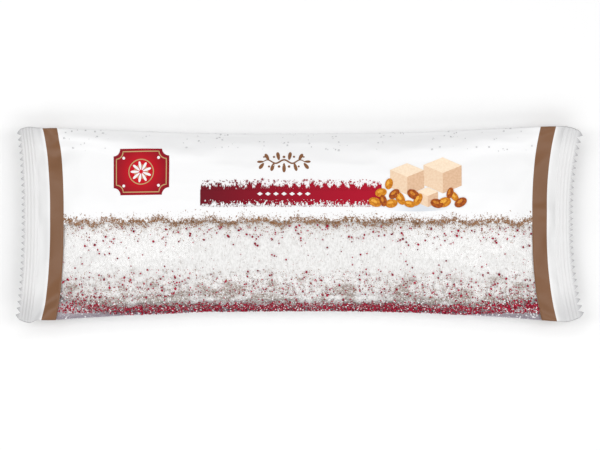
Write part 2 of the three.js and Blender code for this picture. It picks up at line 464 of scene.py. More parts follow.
@dataclass
class Loaf:
    """The stollen itself: a long low loaf with blunt ends, thick with powdered sugar.

    A fullness says how square a curve is: 2 for an oval, and more for a fuller one.

    Attributes:
        length: Along the pack.
        width: Across it.
        height: Above its flat underside.
        belly_share: The share of its height that lies below its widest line.
        bluntness: The fullness of its ends from above.
        end_slope: The fullness of its top towards its ends.
        side_fullness: The fullness of its sides from above.
        crown_fullness: The fullness of its top across.
        belly_fullness: The fullness of its underside, along and across.
        floor_gap: Its underside above the table.
        swell: How far the sugar stands out where it is thickest.
        filling: How far loose sugar reaches towards the film.
        sight: How far out the film is looked for.
        clearance: The gap that the loose sugar leaves.
        squeezed: The least gap to the film.
        voxel: The step of its mesh.
        waves: The size of the sugar's wide swells.
        lumps: The size of its lumps.
        grains: The size of its grains, along the loaf and across it.
        cracks: The distance between its cracks.
        worn: The size of the bare places, along the loaf and across it.
    """

    length: float = 344 * MM
    width: float = 113 * MM
    height: float = 34 * MM
    belly_share: float = 0.36
    bluntness: float = 7.0
    end_slope: float = 1.7
    side_fullness: float = 2.6
    crown_fullness: float = 2.3
    belly_fullness: Pair = (4.0, 3.0)
    floor_gap: float = 0.5 * MM
    swell: float = 0.30 * MM
    filling: float = 12 * MM
    sight: float = 40 * MM
    clearance: float = 0.8 * MM
    squeezed: float = 0.25 * MM
    voxel: float = 1.2 * MM
    waves: float = 21 * MM
    lumps: float = 8.5 * MM
    grains: Place = (1.8 * MM, 5 * MM)
    cracks: float = 16 * MM
    worn: Place = (13 * MM, 7 * MM)

    def form(self, name: str, cuts: int) -> Object:
        """Models the plain form as a cube swelled to a long rounded block.

        Args:
            name: The object's name.
            cuts: Cuts across each face of the cube.

        Returns:
            The new object, a closed mesh.
        """
        obj = start_primitive(bpy.ops.mesh.primitive_cube_add, name, size=2)
        edit_all(obj, lambda: bpy.ops.mesh.subdivide(number_cuts=cuts))
        set_coordinates(obj, self._rounded(coordinates(obj)))
        return obj

    def _rounded(self, cube: Array) -> Array:
        """Swells the faces of a cube of half side 1 to the loaf's form."""
        ball = cube / np.linalg.norm(cube, axis=1)[:, None]
        angle = np.arctan2(ball[:, 1], ball[:, 0])
        spread = np.hypot(ball[:, 0], ball[:, 1]) ** (2 / self.side_fullness)
        end = np.sign(np.cos(angle)) * np.abs(np.cos(angle)) ** (2 / self.bluntness) * spread
        side = np.sign(np.sin(angle)) * np.abs(np.sin(angle)) ** (2 / self.side_fullness) * spread
        reach = self._rounding(np.abs(end), self.bluntness)
        across = np.abs(side) / reach
        lengthwise, crosswise = self.belly_fullness
        crown = self._rounding(np.abs(end), self.end_slope) * self._rounding(across, self.crown_fullness)
        belly = self._rounding(np.abs(end), lengthwise) * self._rounding(across, crosswise)
        widest = self.belly_share * self.height
        z = np.where(ball[:, 2] >= 0, (self.height - widest) * crown, -widest * belly)
        z += widest + self.floor_gap
        return np.stack([end * self.length / 2, side * self.width / 2, z], axis=1)

    @staticmethod
    def _rounding(share: Array, fullness: float) -> Array:
        """Falls from 1 at share 0 to 0 at share 1, along an oval that is fuller for a higher fullness."""
        return np.clip(1 - np.clip(share, 0, 1) ** fullness, 1e-9, 1) ** (1 / fullness)

    def build(self, chart: FilmChart) -> Object:
        """Models the sugared loaf, with the loose sugar that the film holds against it.

        Args:
            chart: The film round it, whose hollow ends press on it.

        Returns:
            The loaf, with an attribute that says where the crust shows.
        """
        obj = self.form("stollen_loaf", 60)
        apply_modifier(obj, "REMESH", mode="VOXEL", voxel_size=self.voxel)
        points = coordinates(obj)
        points[:, 0] += chart.web.hollow(points[:, 0], points[:, 1])
        points[:, 2] += chart.web.seam_rise
        set_coordinates(obj, points)
        normals = np.empty(3 * len(points))
        obj.data.vertices.foreach_get("normal", normals)
        normals = normals.reshape(-1, 3)
        film = chart.surface()
        outwards = self.filling * (1 - np.exp(-self._room(points, normals, film) / self.filling))
        points += normals * (outwards * smoothstep(-0.95, -0.6, normals[:, 2]))[:, None]
        hollows, bare = self._sugar(points)
        flat_below = smoothstep(0, 4 * MM, points[:, 2])
        moved = points + normals * (self.swell - hollows * flat_below)[:, None]
        moved[:, 2] = np.maximum(moved[:, 2], self.floor_gap + chart.web.seam_rise)
        set_coordinates(obj, self._held_inside(moved, film))
        attribute = obj.data.attributes.new("bare", "FLOAT", "POINT")
        attribute.data.foreach_set("value", bare)
        obj.data.shade_smooth()
        return obj

    def _room(self, points: Array, normals: Array, film: BVHTree) -> Array:
        """Measures the gap between the loaf and the film.

        Args:
            points: Places on the loaf.
            normals: The way out from each.
            film: The film.

        Returns:
            How far each place may move outwards.
        """
        room = np.zeros(len(points))
        for i, (point, normal) in enumerate(zip(points, normals)):
            distance = film.ray_cast(Vector(point), Vector(normal), self.sight)[3]
            if distance is not None:
                room[i] = distance
        return np.maximum(room - self.clearance, 0)

    def _held_inside(self, points: Array, film: BVHTree) -> Array:
        """Presses in whatever lies too close under the film or outside it.

        Args:
            points: Places on the loaf.
            film: The film.

        Returns:
            The places, at least the squeezed gap inside the film.
        """
        held = points.copy()
        for i, point in enumerate(points):
            nearest, outwards = film.find_nearest(Vector(point))[:2]
            depth = (nearest - Vector(point)).dot(outwards)
            if depth < self.squeezed:
                held[i] -= np.array(outwards) * (self.squeezed - depth)
        return held

    def _sugar(self, points: Array) -> tuple[Array, Array]:
        """Works out the hollows of the sugar, and where it has rubbed off.

        Args:
            points: Places on the loaf.

        Returns:
            The depth of the hollows, and how bare the crust is there, from 0 to 1.
        """
        hollows = np.empty(len(points))
        bare = np.empty(len(points))
        for i, point in enumerate(points):
            here = Vector(point)
            swell = 0.5 - noise.noise(here / self.waves)
            lumps = 1 - noise.turbulence(here / self.lumps, 3, False)
            grains = 0.5 - noise.noise(self._scaled(point, self.grains))
            cells = noise.voronoi(here / self.cracks)[0]
            crack = 1 - min(1.0, (cells[1] - cells[0]) / 0.10)
            worn = noise.noise(self._scaled(point, self.worn) + Vector((7.0, 3.0, 1.0)))
            open_crack = crack * max(0.0, worn + 0.05)
            hollows[i] = (0.30 * swell + 0.30 * lumps + 0.25 * grains + 0.8 * open_crack) * MM
            low_side = max(0.0, -point[1] / (self.width / 2)) ** 2
            bare[i] = (0.5 + 0.5 * low_side) * worn + 0.95 * low_side + 0.15 * lumps
        bare -= 0.16 * smoothstep(-120 * MM, -148 * MM, points[:, 0])
        return np.maximum(hollows, 0), smoothstep(0.80, 1.10, bare)

    @staticmethod
    def _scaled(point: Array, size: Place) -> Vector:
        """Divides a place on the loaf by the size that a pattern has along it and across it."""
        return Vector(point / (size[0], size[1], size[1]))


# --- The pouch ---


@dataclass(frozen=True)
class Stage:
    """One stage of the simulation.

    Attributes:
        where: The vertex group that the pressure acts on.
        frames: How long the stage lasts.
        pressure: The pressure in the pouch, or below 0 a vacuum.
        damping: How much the air slows the film.
    """

    where: str
    frames: int
    pressure: float
    damping: float


@dataclass
class FilmPouch:
    """The flat pouch, which is opened by pressure and then drawn onto the loaf.

    It is simulated at ten times its size, where the cloth solver's stiffness suits packaging film.

    Attributes:
        web: The film's sizes.
        step: The distance between its grid lines.
        gap: The gap between the two sheets when it lies flat.
        scale: How much larger than life it is simulated.
        opened: The stage that blows it up.
        drawn: The stage that draws it onto the loaf.
        table_gap: How far it keeps from the table and itself, at the simulation's scale.
        loaf_gap: How far it keeps from the loaf, at that scale.
        swelling_reach: How far from an end seal the full pressure acts at first.
        seal_gap: Half the least gap between the sheets.
        opening: The least gap as a share of the one a step further along.
        smoothing: Rounds of smoothing after it has settled.
        smoothing_share: How far a round moves a point towards its neighbours' middle.
        levelling: The share to which the end seals are pressed level.
        straightened: How far from a seal the rows stay straight, and where they run free.
    """

    web: Web
    step: float = 3 * MM
    gap: float = 0.3 * MM
    scale: float = 10.0
    opened: Stage = Stage("swelling", 12, 2.0, 4.0)
    drawn: Stage = Stage("hugging", 9, -1.0, 6.0)
    table_gap: float = 0.004
    loaf_gap: float = 0.006
    swelling_reach: float = 130 * MM
    seal_gap: float = 0.13 * MM
    opening: float = 0.27
    smoothing: int = 2
    smoothing_share: float = 0.35
    levelling: float = 0.7
    straightened: Pair = (22 * MM, 70 * MM)
    rows: int = field(init=False)
    columns: int = field(init=False)

    def __post_init__(self) -> None:
        """Divides the web into whole steps."""
        self.rows = round(self.web.length / self.step)
        self.columns = round(self.web.width / self.step)

    def settle(self, loaf: Loaf) -> FilmChart:
        """Draws the pouch onto the loaf.

        Args:
            loaf: The loaf inside it.

        Returns:
            The settled film.
        """
        pouch, knots = self._flat_pouch()
        filling = loaf.form("filling", 24)
        set_coordinates(filling, coordinates(filling) * self.scale)
        table = start_primitive(bpy.ops.mesh.primitive_plane_add, "table", size=8, location=(0, 0, -0.005))
        self._make_solid(table, self.table_gap, friction=1.0)
        self._simulate(pouch, self.opened)
        self._make_solid(filling, self.loaf_gap, friction=2.0)
        self._simulate(pouch, self.drawn)
        points = coordinates(pouch) / self.scale
        for obj in (pouch, filling, table):
            bpy.data.meshes.remove(obj.data)
        return FilmChart(self.web, self._net(points, knots))

    def _flat_pouch(self) -> tuple[Object, Array]:
        """Models the flat pouch: two sheets that share their edges and their end seals.

        Returns:
            The pouch, and the index of its vertex at each row and each column round it.
        """
        pouch = start_grid("pouch", self.rows, self.columns)
        edit_all(pouch, bpy.ops.mesh.duplicate, bpy.ops.mesh.flip_normals)
        flat = coordinates(pouch) * (self.web.length, self.web.width, 0)
        inwards = self.web.body_half - np.abs(flat[:, 0])
        sheet = np.where(np.arange(len(flat)) < len(flat) // 2, Sheet.UPPER.value, Sheet.LOWER.value)
        inside = (inwards > TOUCHING) & (np.abs(flat[:, 1]) < self.web.width / 2 - TOUCHING)
        flat[:, 2] = sheet * inside * self.gap * np.clip(inwards / (6 * MM), 0.05, 1)
        set_coordinates(pouch, flat)
        edit_all(pouch, lambda: bpy.ops.mesh.remove_doubles(threshold=TOUCHING))
        flat = coordinates(pouch)
        knots = self._knots(flat)
        self._weight(pouch, flat)
        set_coordinates(pouch, (flat + (0, 0, self.web.seal_height)) * self.scale)
        return pouch, knots

    def _knots(self, flat: Array) -> Array:
        """Finds the vertex at each row and each column round the flat pouch."""
        row = np.rint((flat[:, 0] / self.web.length + 0.5) * self.rows).astype(int)
        across = np.rint((flat[:, 1] / self.web.width + 0.5) * self.columns).astype(int)
        knots = np.empty((self.rows + 1, 2 * self.columns), dtype=int)
        for i in range(len(flat)):
            if flat[i, 2] >= 0:
                knots[row[i], across[i]] = i
            if flat[i, 2] <= 0:
                knots[row[i], -across[i]] = i
        return knots

    def _weight(self, pouch: Object, flat: Array) -> None:
        """Adds the vertex groups that say where the pressure acts and the film is stiff."""
        inwards = self.web.body_half - np.abs(flat[:, 0])
        swelling = 0.1 + 0.9 * smoothstep(0, self.swelling_reach, inwards)
        weights = {
            "swelling": np.where(inwards > -TOUCHING, swelling, 0),
            "hugging": np.where(inwards > -TOUCHING, 1, 0),
            "seals": np.where(inwards < TOUCHING, 1, 0),
            "body": np.where(inwards > 2 * MM, 1, 0),
        }
        for name, values in weights.items():
            group = pouch.vertex_groups.new(name=name)
            for i in np.flatnonzero(values):
                group.add([int(i)], float(values[i]), "REPLACE")

    @staticmethod
    def _make_solid(obj: Object, gap: float, friction: float) -> None:
        """Makes an object hold the film with a friction, at a gap from it."""
        obj.modifiers.new("solid", "COLLISION")
        obj.collision.thickness_outer, obj.collision.cloth_friction = gap, friction

    def _simulate(self, pouch: Object, stage: Stage) -> None:
        """Runs one stage of the simulation and applies it.

        Args:
            pouch: The pouch.
            stage: The stage.
        """
        modifier = pouch.modifiers.new("cloth", "CLOTH")
        film = modifier.settings
        film.quality = 6
        film.mass = 0.1
        film.air_damping = stage.damping
        film.effector_weights.gravity = 0
        film.tension_stiffness = film.compression_stiffness = 8
        film.tension_stiffness_max = film.compression_stiffness_max = 40
        film.vertex_group_structural_stiffness = "body"
        film.shear_stiffness, film.shear_stiffness_max = 0.5, 40
        film.vertex_group_shear_stiffness = "body"
        film.bending_stiffness, film.bending_stiffness_max = 0.5, 40
        film.vertex_group_bending = "seals"
        film.use_pressure = True
        film.uniform_pressure_force = stage.pressure
        film.vertex_group_pressure = stage.where
        contact = modifier.collision_settings
        contact.use_collision = True
        contact.distance_min = self.table_gap
        contact.collision_quality = 3
        scene = bpy.context.scene
        for cached in (modifier.point_cache, scene):
            cached.frame_start, cached.frame_end = 1, stage.frames + 5
        for number in range(1, stage.frames + 2):
            scene.frame_set(number)
        select_only(pouch)
        bpy.ops.object.modifier_apply(modifier=modifier.name)

    def _net(self, points: Array, knots: Array) -> Array:
        """Reads the settled pouch as rows of points, evens out its end seals and draws them in."""
        net = points[knots]
        for _ in range(self.smoothing):
            across = (np.roll(net, 1, axis=1) + np.roll(net, -1, axis=1)) / 2
            along = (net[:-2] + net[2:]) / 2
            net[:, self._free()] += self.smoothing_share * (across - net)[:, self._free()]
            net[1:-1] += self.smoothing_share * (along - net[1:-1])
        station = np.linspace(-0.5, 0.5, self.rows + 1) * self.web.length
        sealed = np.abs(station) > self.web.body_half - TOUCHING
        level = net[sealed, :, 2].mean(axis=1, keepdims=True)
        net[sealed, :, 2] += self.levelling * (level - net[sealed, :, 2])
        self._part_sheets(net)
        self._straighten_ends(net, station)
        return self._drawn_in(net, station)

    def _free(self) -> Array:
        """Lists the columns round the pack that aren't a side fold."""
        return np.flatnonzero(np.arange(2 * self.columns) % self.columns)

    def _part_sheets(self, net: Array) -> None:
        """Moves the two sheets apart where they touch or cross, or where the pouch opens too suddenly.

        Args:
            net: The pouch's points, which are moved.
        """
        upper = net[:, 1 : self.columns]
        lower = net[:, : self.columns : -1]
        gap = upper[..., 2] - lower[..., 2]
        least = np.full_like(gap, 2 * self.seal_gap)
        least[1:] = np.maximum(least[1:], self.opening * gap[:-1])
        least[:-1] = np.maximum(least[:-1], self.opening * gap[1:])
        missing = np.maximum(least - gap, 0)
        upper[..., 2] += missing / 2
        lower[..., 2] -= missing / 2

    def _straighten_ends(self, net: Array, station: Array) -> None:
        """Straightens the rows near both ends, and puts the middle between them at the origin.

        Args:
            net: The pouch's points, which are moved.
            station: Each row's place along the flat web.
        """
        folds = net[:, [0, self.columns], 0].mean(axis=1)
        share = 1 - smoothstep(*self.straightened, self.web.body_half - np.abs(station))
        net[..., 0] += share[:, None] * (folds[:, None] - net[..., 0])
        net[..., 0] -= (net[0, :, 0].mean() + net[-1, :, 0].mean()) / 2

    def _drawn_in(self, net: Array, station: Array) -> Array:
        """Draws the middle and the corners of both ends in.

        Args:
            net: The pouch's points.
            station: Each row's place along the flat web.

        Returns:
            The moved points.
        """
        web = self.web
        across = (np.abs(np.arange(2 * self.columns) / self.columns - 1) - 0.5) * web.width
        moved = net.copy()
        moved[..., 0] += web.hollow(station[:, None], across[None, :])
        outwards = np.clip((np.abs(station) - web.body_half) / web.seal_depth, 0, 1)[:, None]
        moved[..., 1] *= 1 - outwards**1.5 * web.seal_taper / (web.width / 2)
        moved[..., 1] -= web.bow * (station / web.body_half)[:, None] ** 2
        moved[..., 2] += web.seam_rise
        return moved


# --- The film ---


@dataclass
class FilmPack:
    """The printed film, the clear window in it, and the seam along its back.

    Attributes:
        chart: Lays flat places on the pack.
        band_outer: Where the brown bands start, from the tooth tips.
        band_inner: Where they end and the window starts.
        print_shift: How far the print lies to the right of the web's middle.
        window_top: The upper edge of the window, round the web.
        window_bottom: Its lower edge.
        row_step: The distance between rows of its mesh.
        window_step: The same in the window.
        columns_per_tooth: Its columns for each tooth.
        crimp_step: The distance between rows on the crimps.
        tooth_rows: Rows from the roots of the teeth to their tips.
        seam_width: The seam along the back.
        seam_step: The distance between its fine ridges.
        seam_lift: Its height above the film.
        seam_ridge: The height of its ridges.
        seam_thickness: The thickness of its two layers.
    """

    chart: FilmChart
    band_outer: float = 20.35 * MM
    band_inner: float = 30.8 * MM
    print_shift: float = 1.6 * MM
    window_top: float = -0.6 * MM
    window_bottom: float = -68 * MM
    row_step: float = 1.9 * MM
    window_step: float = 1.1 * MM
    columns_per_tooth: int = 4
    crimp_step: float = 0.4 * MM
    tooth_rows: int = 4
    seam_width: float = 12 * MM
    seam_step: float = 0.9 * MM
    seam_lift: float = 0.20 * MM
    seam_ridge: float = 0.035 * MM
    seam_thickness: float = 0.13 * MM

    @property
    def web(self) -> Web:
        """The film's sizes."""
        return self.chart.web

    @property
    def window_half(self) -> float:
        """Half the length of the window along the web."""
        return self.web.length / 2 - self.band_inner

    @property
    def column_width(self) -> float:
        """The distance between columns of the film's mesh."""
        return self.web.width / (self.columns_per_tooth * self.web.tooth_count)

    def build(self) -> tuple[Object, Object]:
        """Models the printed film, and the clear window as a piece of its own.

        Returns:
            The printed film and the clear window.
        """
        film = self._flat_film()
        flat = face_centres(film)
        inside = np.abs(flat[:, 0] - self.print_shift) < self.window_half
        inside &= flat[:, 1] < self.window_top
        inside &= flat[:, 1] > self.window_bottom
        edit_selected(film, inside, lambda: bpy.ops.mesh.delete(type="FACE"))
        window = self._flat_window()
        for piece in (film, window):
            self.chart.lay(piece)
            edit_all(piece, lambda: bpy.ops.mesh.remove_doubles(threshold=TOUCHING))
            apply_modifier(piece, "SOLIDIFY", thickness=self.web.thickness, offset=-1, use_even_offset=False)
            piece.data.shade_smooth()
        return film, window

    def _flat_window(self) -> Object:
        """Models the clear window as a flat grid that fills the gap in the print."""
        columns = round((self.window_top - self.window_bottom) / self.column_width)
        top = math.ceil(self.window_top / self.column_width) * self.column_width
        window = start_grid("film_window", round(2 * self.window_half / self.window_step), columns)
        height = columns * self.column_width
        middle = (self.print_shift, top - height / 2, 0)
        set_coordinates(window, coordinates(window) * (2 * self.window_half, height, 0) + middle)
        return window

    def back_seam(self) -> Object:
        """Models the seam along the back: two layers of film, pressed flat with fine ridges.

        Returns:
            The seam, a closed strip.
        """
        length = 2 * (self.web.body_half + self.web.crimped_depth)
        rows = round(length / self.seam_step)
        seam = start_grid("back_seam", rows, 8)
        flat = coordinates(seam) * (length, self.seam_width, 0)
        ridge = np.cos(math.pi * np.rint((flat[:, 0] / length + 0.5) * rows))
        inside = np.abs(flat[:, 1]) < 0.45 * self.seam_width
        flat[:, 2] = self.seam_lift + inside * self.seam_ridge * ridge
        flat[:, 1] += self.web.width
        set_coordinates(seam, flat)
        self.chart.lay(seam)
        apply_modifier(seam, "SOLIDIFY", thickness=self.seam_thickness, offset=-1, use_even_offset=False)
        seam.data.shade_smooth()
        return seam

    @staticmethod
    def _evenly(start: float, end: float, step: float) -> Array:
        """Lists places about a step apart, from the start up to the last one before the end."""
        return np.linspace(start, end, max(2, round((end - start) / step)), endpoint=False)

    def _stations(self) -> tuple[Array, Array]:
        """Lists the rows of the film's mesh.

        Returns:
            The rows' places along the web, and for each row the share of a tooth that it is out.
        """
        web = self.web
        outer = web.body_half + web.crimped_depth
        halves = []
        for side in (-1, 1):
            window_end = self.window_half + side * self.print_shift
            body = [
                self._evenly(0, window_end, self.row_step),
                self._evenly(window_end, web.body_half, self.row_step),
                self._evenly(web.body_half, outer, self.crimp_step),
                np.full(self.tooth_rows, outer),
            ]
            halves.append(np.concatenate(body))
        left, right = halves
        share = np.zeros(len(left) + len(right) - 1)
        rising = np.linspace(0, 1, self.tooth_rows)
        share[-self.tooth_rows :] = rising
        share[: self.tooth_rows] = rising[::-1]
        return np.concatenate([-left[:0:-1], right]), share

    def _flat_film(self) -> Object:
        """Models the web as a flat grid with a zigzag cut across each end."""
        web = self.web
        stations, shares = self._stations()
        rows = len(stations) - 1
        film = start_grid("film_print", rows, 2 * self.columns_per_tooth * web.tooth_count)
        unit = coordinates(film)
        row = np.rint((unit[:, 0] + 0.5) * rows).astype(int)
        around = unit[:, 1] * 2 * web.width
        pitch = web.width / web.tooth_count
        across = np.where(np.abs(around) > web.width / 2, np.sign(around) * web.width - around, around)
        tooth = 1 - np.abs(2 * np.mod(across / pitch + 0.5, 1) - 1)
        out = shares[row] * web.tooth_depth * (0.06 + 0.94 * tooth)
        along = stations[row] + np.sign(stations[row]) * out
        set_coordinates(film, np.stack([along, around, np.zeros(len(along))], axis=1))
        return film


# --- Finishes ---


class Nodes:
    """A short way to write the nodes of a material or a group."""

    def __init__(self, tree: NodeTree) -> None:
        """Keeps the tree that nodes are added to."""
        self.tree = tree

    def node(self, kind: str, **settings: object) -> Node:
        """Adds a node.

        Args:
            kind: Its type, without the ShaderNode prefix.
            settings: Its properties by name.

        Returns:
            The node.
        """
        made = self.tree.nodes.new("ShaderNode" + kind)
        for key, value in settings.items():
            setattr(made, key, value)
        return made

    def feed(self, node: Node, **inputs: object) -> Node:
        """Sets or links a node's inputs.

        Args:
            node: The node.
            inputs: A number, colour or output socket for each input. A name's underscores stand for
                spaces, and i0, i1 and so on name an input by its place.

        Returns:
            The node.
        """
        for key, value in inputs.items():
            if key[0] == "i" and key[1:].isdigit():
                socket = node.inputs[int(key[1:])]
            else:
                socket = node.inputs[key.replace("_", " ")]
            if isinstance(value, NodeSocket):
                self.tree.links.new(value, socket)
            else:
                socket.default_value = value
        return node

    def math(self, operation: str, *values: object, clamp: bool = False) -> NodeSocket:
        """Adds a Math node and returns its output."""
        made = self.node("Math", operation=operation, use_clamp=clamp)
        return self.feed(made, **{f"i{k}": value for k, value in enumerate(values)}).outputs[0]

    def mix(self, share: object, first: object, second: object) -> NodeSocket:
        """Mixes two colours and returns the result."""
        made = self.node("Mix", data_type="RGBA")
        return self.feed(made, i0=share, i6=first, i7=second).outputs[2]

    def step(self, value: object, low: object, high: object) -> NodeSocket:
        """Turns a value into a smooth step from 0 at low to 1 at high."""
        made = self.node("MapRange", interpolation_type="SMOOTHSTEP")
        return self.feed(made, i0=value, i1=low, i2=high, i3=0.0, i4=1.0).outputs[0]

    def noise(self, place: NodeSocket, scale: float, detail: float = 2.0) -> NodeSocket:
        """Adds a noise texture and returns its value."""
        made = self.node("TexNoise")
        return self.feed(made, Vector=place, Scale=scale, Detail=detail).outputs[0]


def new_material(name: str) -> tuple[Material, Nodes, Node]:
    """Starts a material.

    Args:
        name: Its name.

    Returns:
        The material, its nodes, and its Principled BSDF.
    """
    material = bpy.data.materials.new(name)
    material.use_nodes = True
    tree = Nodes(material.node_tree)
    return material, tree, material.node_tree.nodes["Principled BSDF"]


class EffectGroup:
    """A node group for an effect that several materials share, while it is made."""

    def __init__(self, name: str, output: str, **inputs: str) -> None:
        """Starts the group and gives it its sockets.

        Args:
            name: Its name.
            output: What it gives: Color or Normal.
            inputs: The kind of each input, by the input's name.
        """
        self.group = bpy.data.node_groups.new(name, "ShaderNodeTree")
        for socket, kind in inputs.items():
            self.group.interface.new_socket(socket, in_out="INPUT", socket_type="NodeSocket" + kind)
        kind = "NodeSocketColor" if output == "Color" else "NodeSocketVector"
        self.group.interface.new_socket(output, in_out="OUTPUT", socket_type=kind)
        self.given = self.group.nodes.new("NodeGroupInput").outputs
        self.nodes = Nodes(self.group)

    def giving(self, value: NodeSocket) -> NodeTree:
        """Links the group's output to what its nodes work out, and returns the group."""
        self.group.links.new(value, self.group.nodes.new("NodeGroupOutput").inputs[0])
        return self.group


def film_creases() -> NodeTree:
    """Makes the group that gives every film its fine unevenness, from the place on the web."""
    effect = EffectGroup("film_creases", "Normal", Place="Vector")
    nodes = effect.nodes
    bump = nodes.node("Bump")
    nodes.feed(bump, Strength=0.3, Distance=0.2 * MM, Height=nodes.noise(effect.given["Place"], 90.0, 3.0))
    return effect.giving(bump.outputs[0])


def ink_mottle() -> NodeTree:
    """Makes the group that changes an ink at random between its near and its far colour."""
    effect = EffectGroup("ink_mottle", "Color", Place="Vector", Near="Color", Far="Color")
    nodes, given = effect.nodes, effect.given
    change = nodes.step(nodes.noise(given["Place"], 700.0, 1.0), 0.35, 0.65)
    return effect.giving(nodes.mix(change, given["Near"], given["Far"]))


def ink_fade() -> NodeTree:
    """Makes the group that changes an ink from its near to its far colour with the distance from a centre."""
    effect = EffectGroup(
        "ink_fade", "Color", Place="Vector", Centre="Vector", Reach="Float", Near="Color", Far="Color"
    )
    nodes, given = effect.nodes, effect.given
    away = nodes.feed(nodes.node("VectorMath", operation="DISTANCE"), i0=given["Place"], i1=given["Centre"])
    change = nodes.step(away.outputs["Value"], 0.0, given["Reach"])
    return effect.giving(nodes.mix(change, given["Near"], given["Far"]))


def creased(nodes: Nodes, surface: Node, creases: NodeTree) -> NodeSocket:
    """Gives a surface the film's unevenness.

    Args:
        nodes: The material's nodes.
        surface: Its Principled BSDF.
        creases: The group made by film_creases.

    Returns:
        The place on the web.
    """
    place = nodes.node("UVMap", uv_map=WEB_UV).outputs[0]
    group = nodes.feed(nodes.node("Group", node_tree=creases), Place=place)
    nodes.feed(surface, Normal=group.outputs["Normal"])
    return place


@dataclass(frozen=True)
class PrintedFilm:
    """White film with a brown band beside each end seal, and painted shade on the seals' corners and teeth.

    Attributes:
        band_blur: How softly a band ends.
        white_from: Where the white starts, from the outer edge of a band.
        white_full: Where it has its full strength.
        shade_middle: The line that the painted shade of the corners is measured from.
        shade_reach: Where that painted shade starts and is full, as shares of the width.
        teeth_reach: How far inwards the painted shade of the teeth reaches, in teeth.
    """

    white: Colour = (0.865, 0.865, 0.87, 1)
    # The seals' grey is partly the sealed film's own tone and partly painted shade.
    sealed: Colour = (0.745, 0.745, 0.745, 1)
    # Painted shade: the seals' corners are darker, where the film turns down away from the light.
    corners: Colour = (0.61, 0.61, 0.615, 1)
    # Painted shade: the teeth are a darker grey, standing for the shade on them.
    teeth: Colour = (0.42, 0.42, 0.43, 1)
    brown: Colour = (0.205, 0.098, 0.048, 1)
    roughness: float = 0.32
    gloss: float = 0.25
    band_blur: float = 0.08 * MM
    white_from: float = -3.5 * MM
    white_full: float = 1 * MM
    shade_middle: float = 4 * MM
    shade_reach: Pair = (0.34, 0.50)
    teeth_reach: float = 1.2

    def material(self, pack: FilmPack, creases: NodeTree) -> Material:
        """Makes the material.

        Args:
            pack: The film's sizes and the places of its bands.
            creases: The group made by film_creases.

        Returns:
            The material.
        """
        material, nodes, surface = new_material("printed_film")
        place = creased(nodes, surface, creases)
        along, around = nodes.feed(nodes.node("SeparateXYZ"), i0=place).outputs[:2]
        half, width = pack.web.length / 2, pack.web.width
        shifted = nodes.math("ABSOLUTE", nodes.math("SUBTRACT", along, pack.print_shift))
        from_tip = nodes.math("SUBTRACT", half, shifted)
        band = nodes.math(
            "MULTIPLY",
            nodes.step(from_tip, pack.band_outer - self.band_blur, pack.band_outer + self.band_blur),
            nodes.step(from_tip, pack.band_inner + self.band_blur, pack.band_inner - self.band_blur),
        )
        beside = nodes.math("ABSOLUTE", nodes.math("SUBTRACT", around, self.shade_middle))
        beside = nodes.math("MINIMUM", beside, nodes.math("SUBTRACT", width, beside))
        # The corners of the seals get a painted shade.
        corner_shade = nodes.step(beside, *(share * width for share in self.shade_reach))
        sealed = nodes.mix(corner_shade, self.sealed, self.corners)
        # The seals' grey, partly painted shade, gives way to the white towards the band.
        open_film = nodes.step(from_tip, pack.band_outer + self.white_from, pack.band_outer + self.white_full)
        ground = nodes.mix(open_film, sealed, self.white)
        outwards = nodes.math("ABSOLUTE", along)
        # The teeth get a painted shade.
        tips = nodes.step(outwards, half - self.teeth_reach * pack.web.tooth_depth, half)
        ground = nodes.mix(tips, ground, self.teeth)
        nodes.feed(surface, Base_Color=nodes.mix(band, ground, self.brown), Roughness=self.roughness)
        nodes.feed(surface, Specular_IOR_Level=self.gloss)
        return material


@dataclass(frozen=True)
class SeamFilm:
    """The white film of the seam along the back."""

    colour: Colour = (0.80, 0.80, 0.81, 1)
    roughness: float = 0.34

    def material(self, creases: NodeTree) -> Material:
        """Makes the material, with the creases that every film has."""
        material, nodes, surface = new_material("seam_film")
        creased(nodes, surface, creases)
        nodes.feed(surface, Base_Color=self.colour, Roughness=self.roughness)
        return material


@dataclass(frozen=True)
class ClearFilm:
    """Clear glossy film, lightly dusted with sugar on its inside, with painted shade towards the side fold.

    Attributes:
        fold_shade: The painted shade that it takes on at the side fold, where the pack turns away from the
            light.
        fold_from: Where that painted shade starts, round the web.
        fold_full: Where it has its full strength.
    """

    haze: Colour = (0.93, 0.93, 0.95, 1)
    roughness: float = 0.13
    dustiness: float = 0.08
    gloss: float = 1.6
    # Painted shade: the film looks darker and lilac-grey towards the side fold.
    fold_shade: Colour = (0.72, 0.68, 0.72, 1)
    fold_from: float = -59.5 * MM
    fold_full: float = -67 * MM

    def material(self, creases: NodeTree) -> Material:
        """Makes the material, which is seen through except for the gloss and dust of its near side.

        Args:
            creases: The group made by film_creases.

        Returns:
            The material.
        """
        material, nodes, surface = new_material("clear_film")
        place = creased(nodes, surface, creases)
        dust = nodes.math("MULTIPLY", nodes.step(nodes.noise(place, 160.0, 4.0), 0.50, 0.85), self.dustiness)
        gloss = nodes.math("MULTIPLY", nodes.feed(nodes.node("Fresnel"), IOR=1.5).outputs[0], self.gloss)
        near_side = nodes.math("SUBTRACT", 1.0, nodes.node("NewGeometry").outputs["Backfacing"])
        cover = nodes.math("MULTIPLY", nodes.math("ADD", dust, gloss), near_side, clamp=True)
        nodes.feed(surface, Base_Color=self.haze, Roughness=self.roughness, Metallic=0.5)
        around = nodes.feed(nodes.node("SeparateXYZ"), i0=place).outputs[1]
        # Painted shade: the film darkens towards the side fold, where the pack turns away from the light.
        painted_fold_shade = nodes.mix(nodes.step(around, self.fold_from, self.fold_full), (1, 1, 1, 1), self.fold_shade)
        clear = nodes.feed(nodes.node("BsdfTransparent"), Color=painted_fold_shade)
        mixed = nodes.node("MixShader")
        nodes.feed(mixed, i0=cover, i1=clear.outputs[0], i2=surface.outputs[0])
        nodes.feed(nodes.tree.nodes["Material Output"], Surface=mixed.outputs[0])
        return material


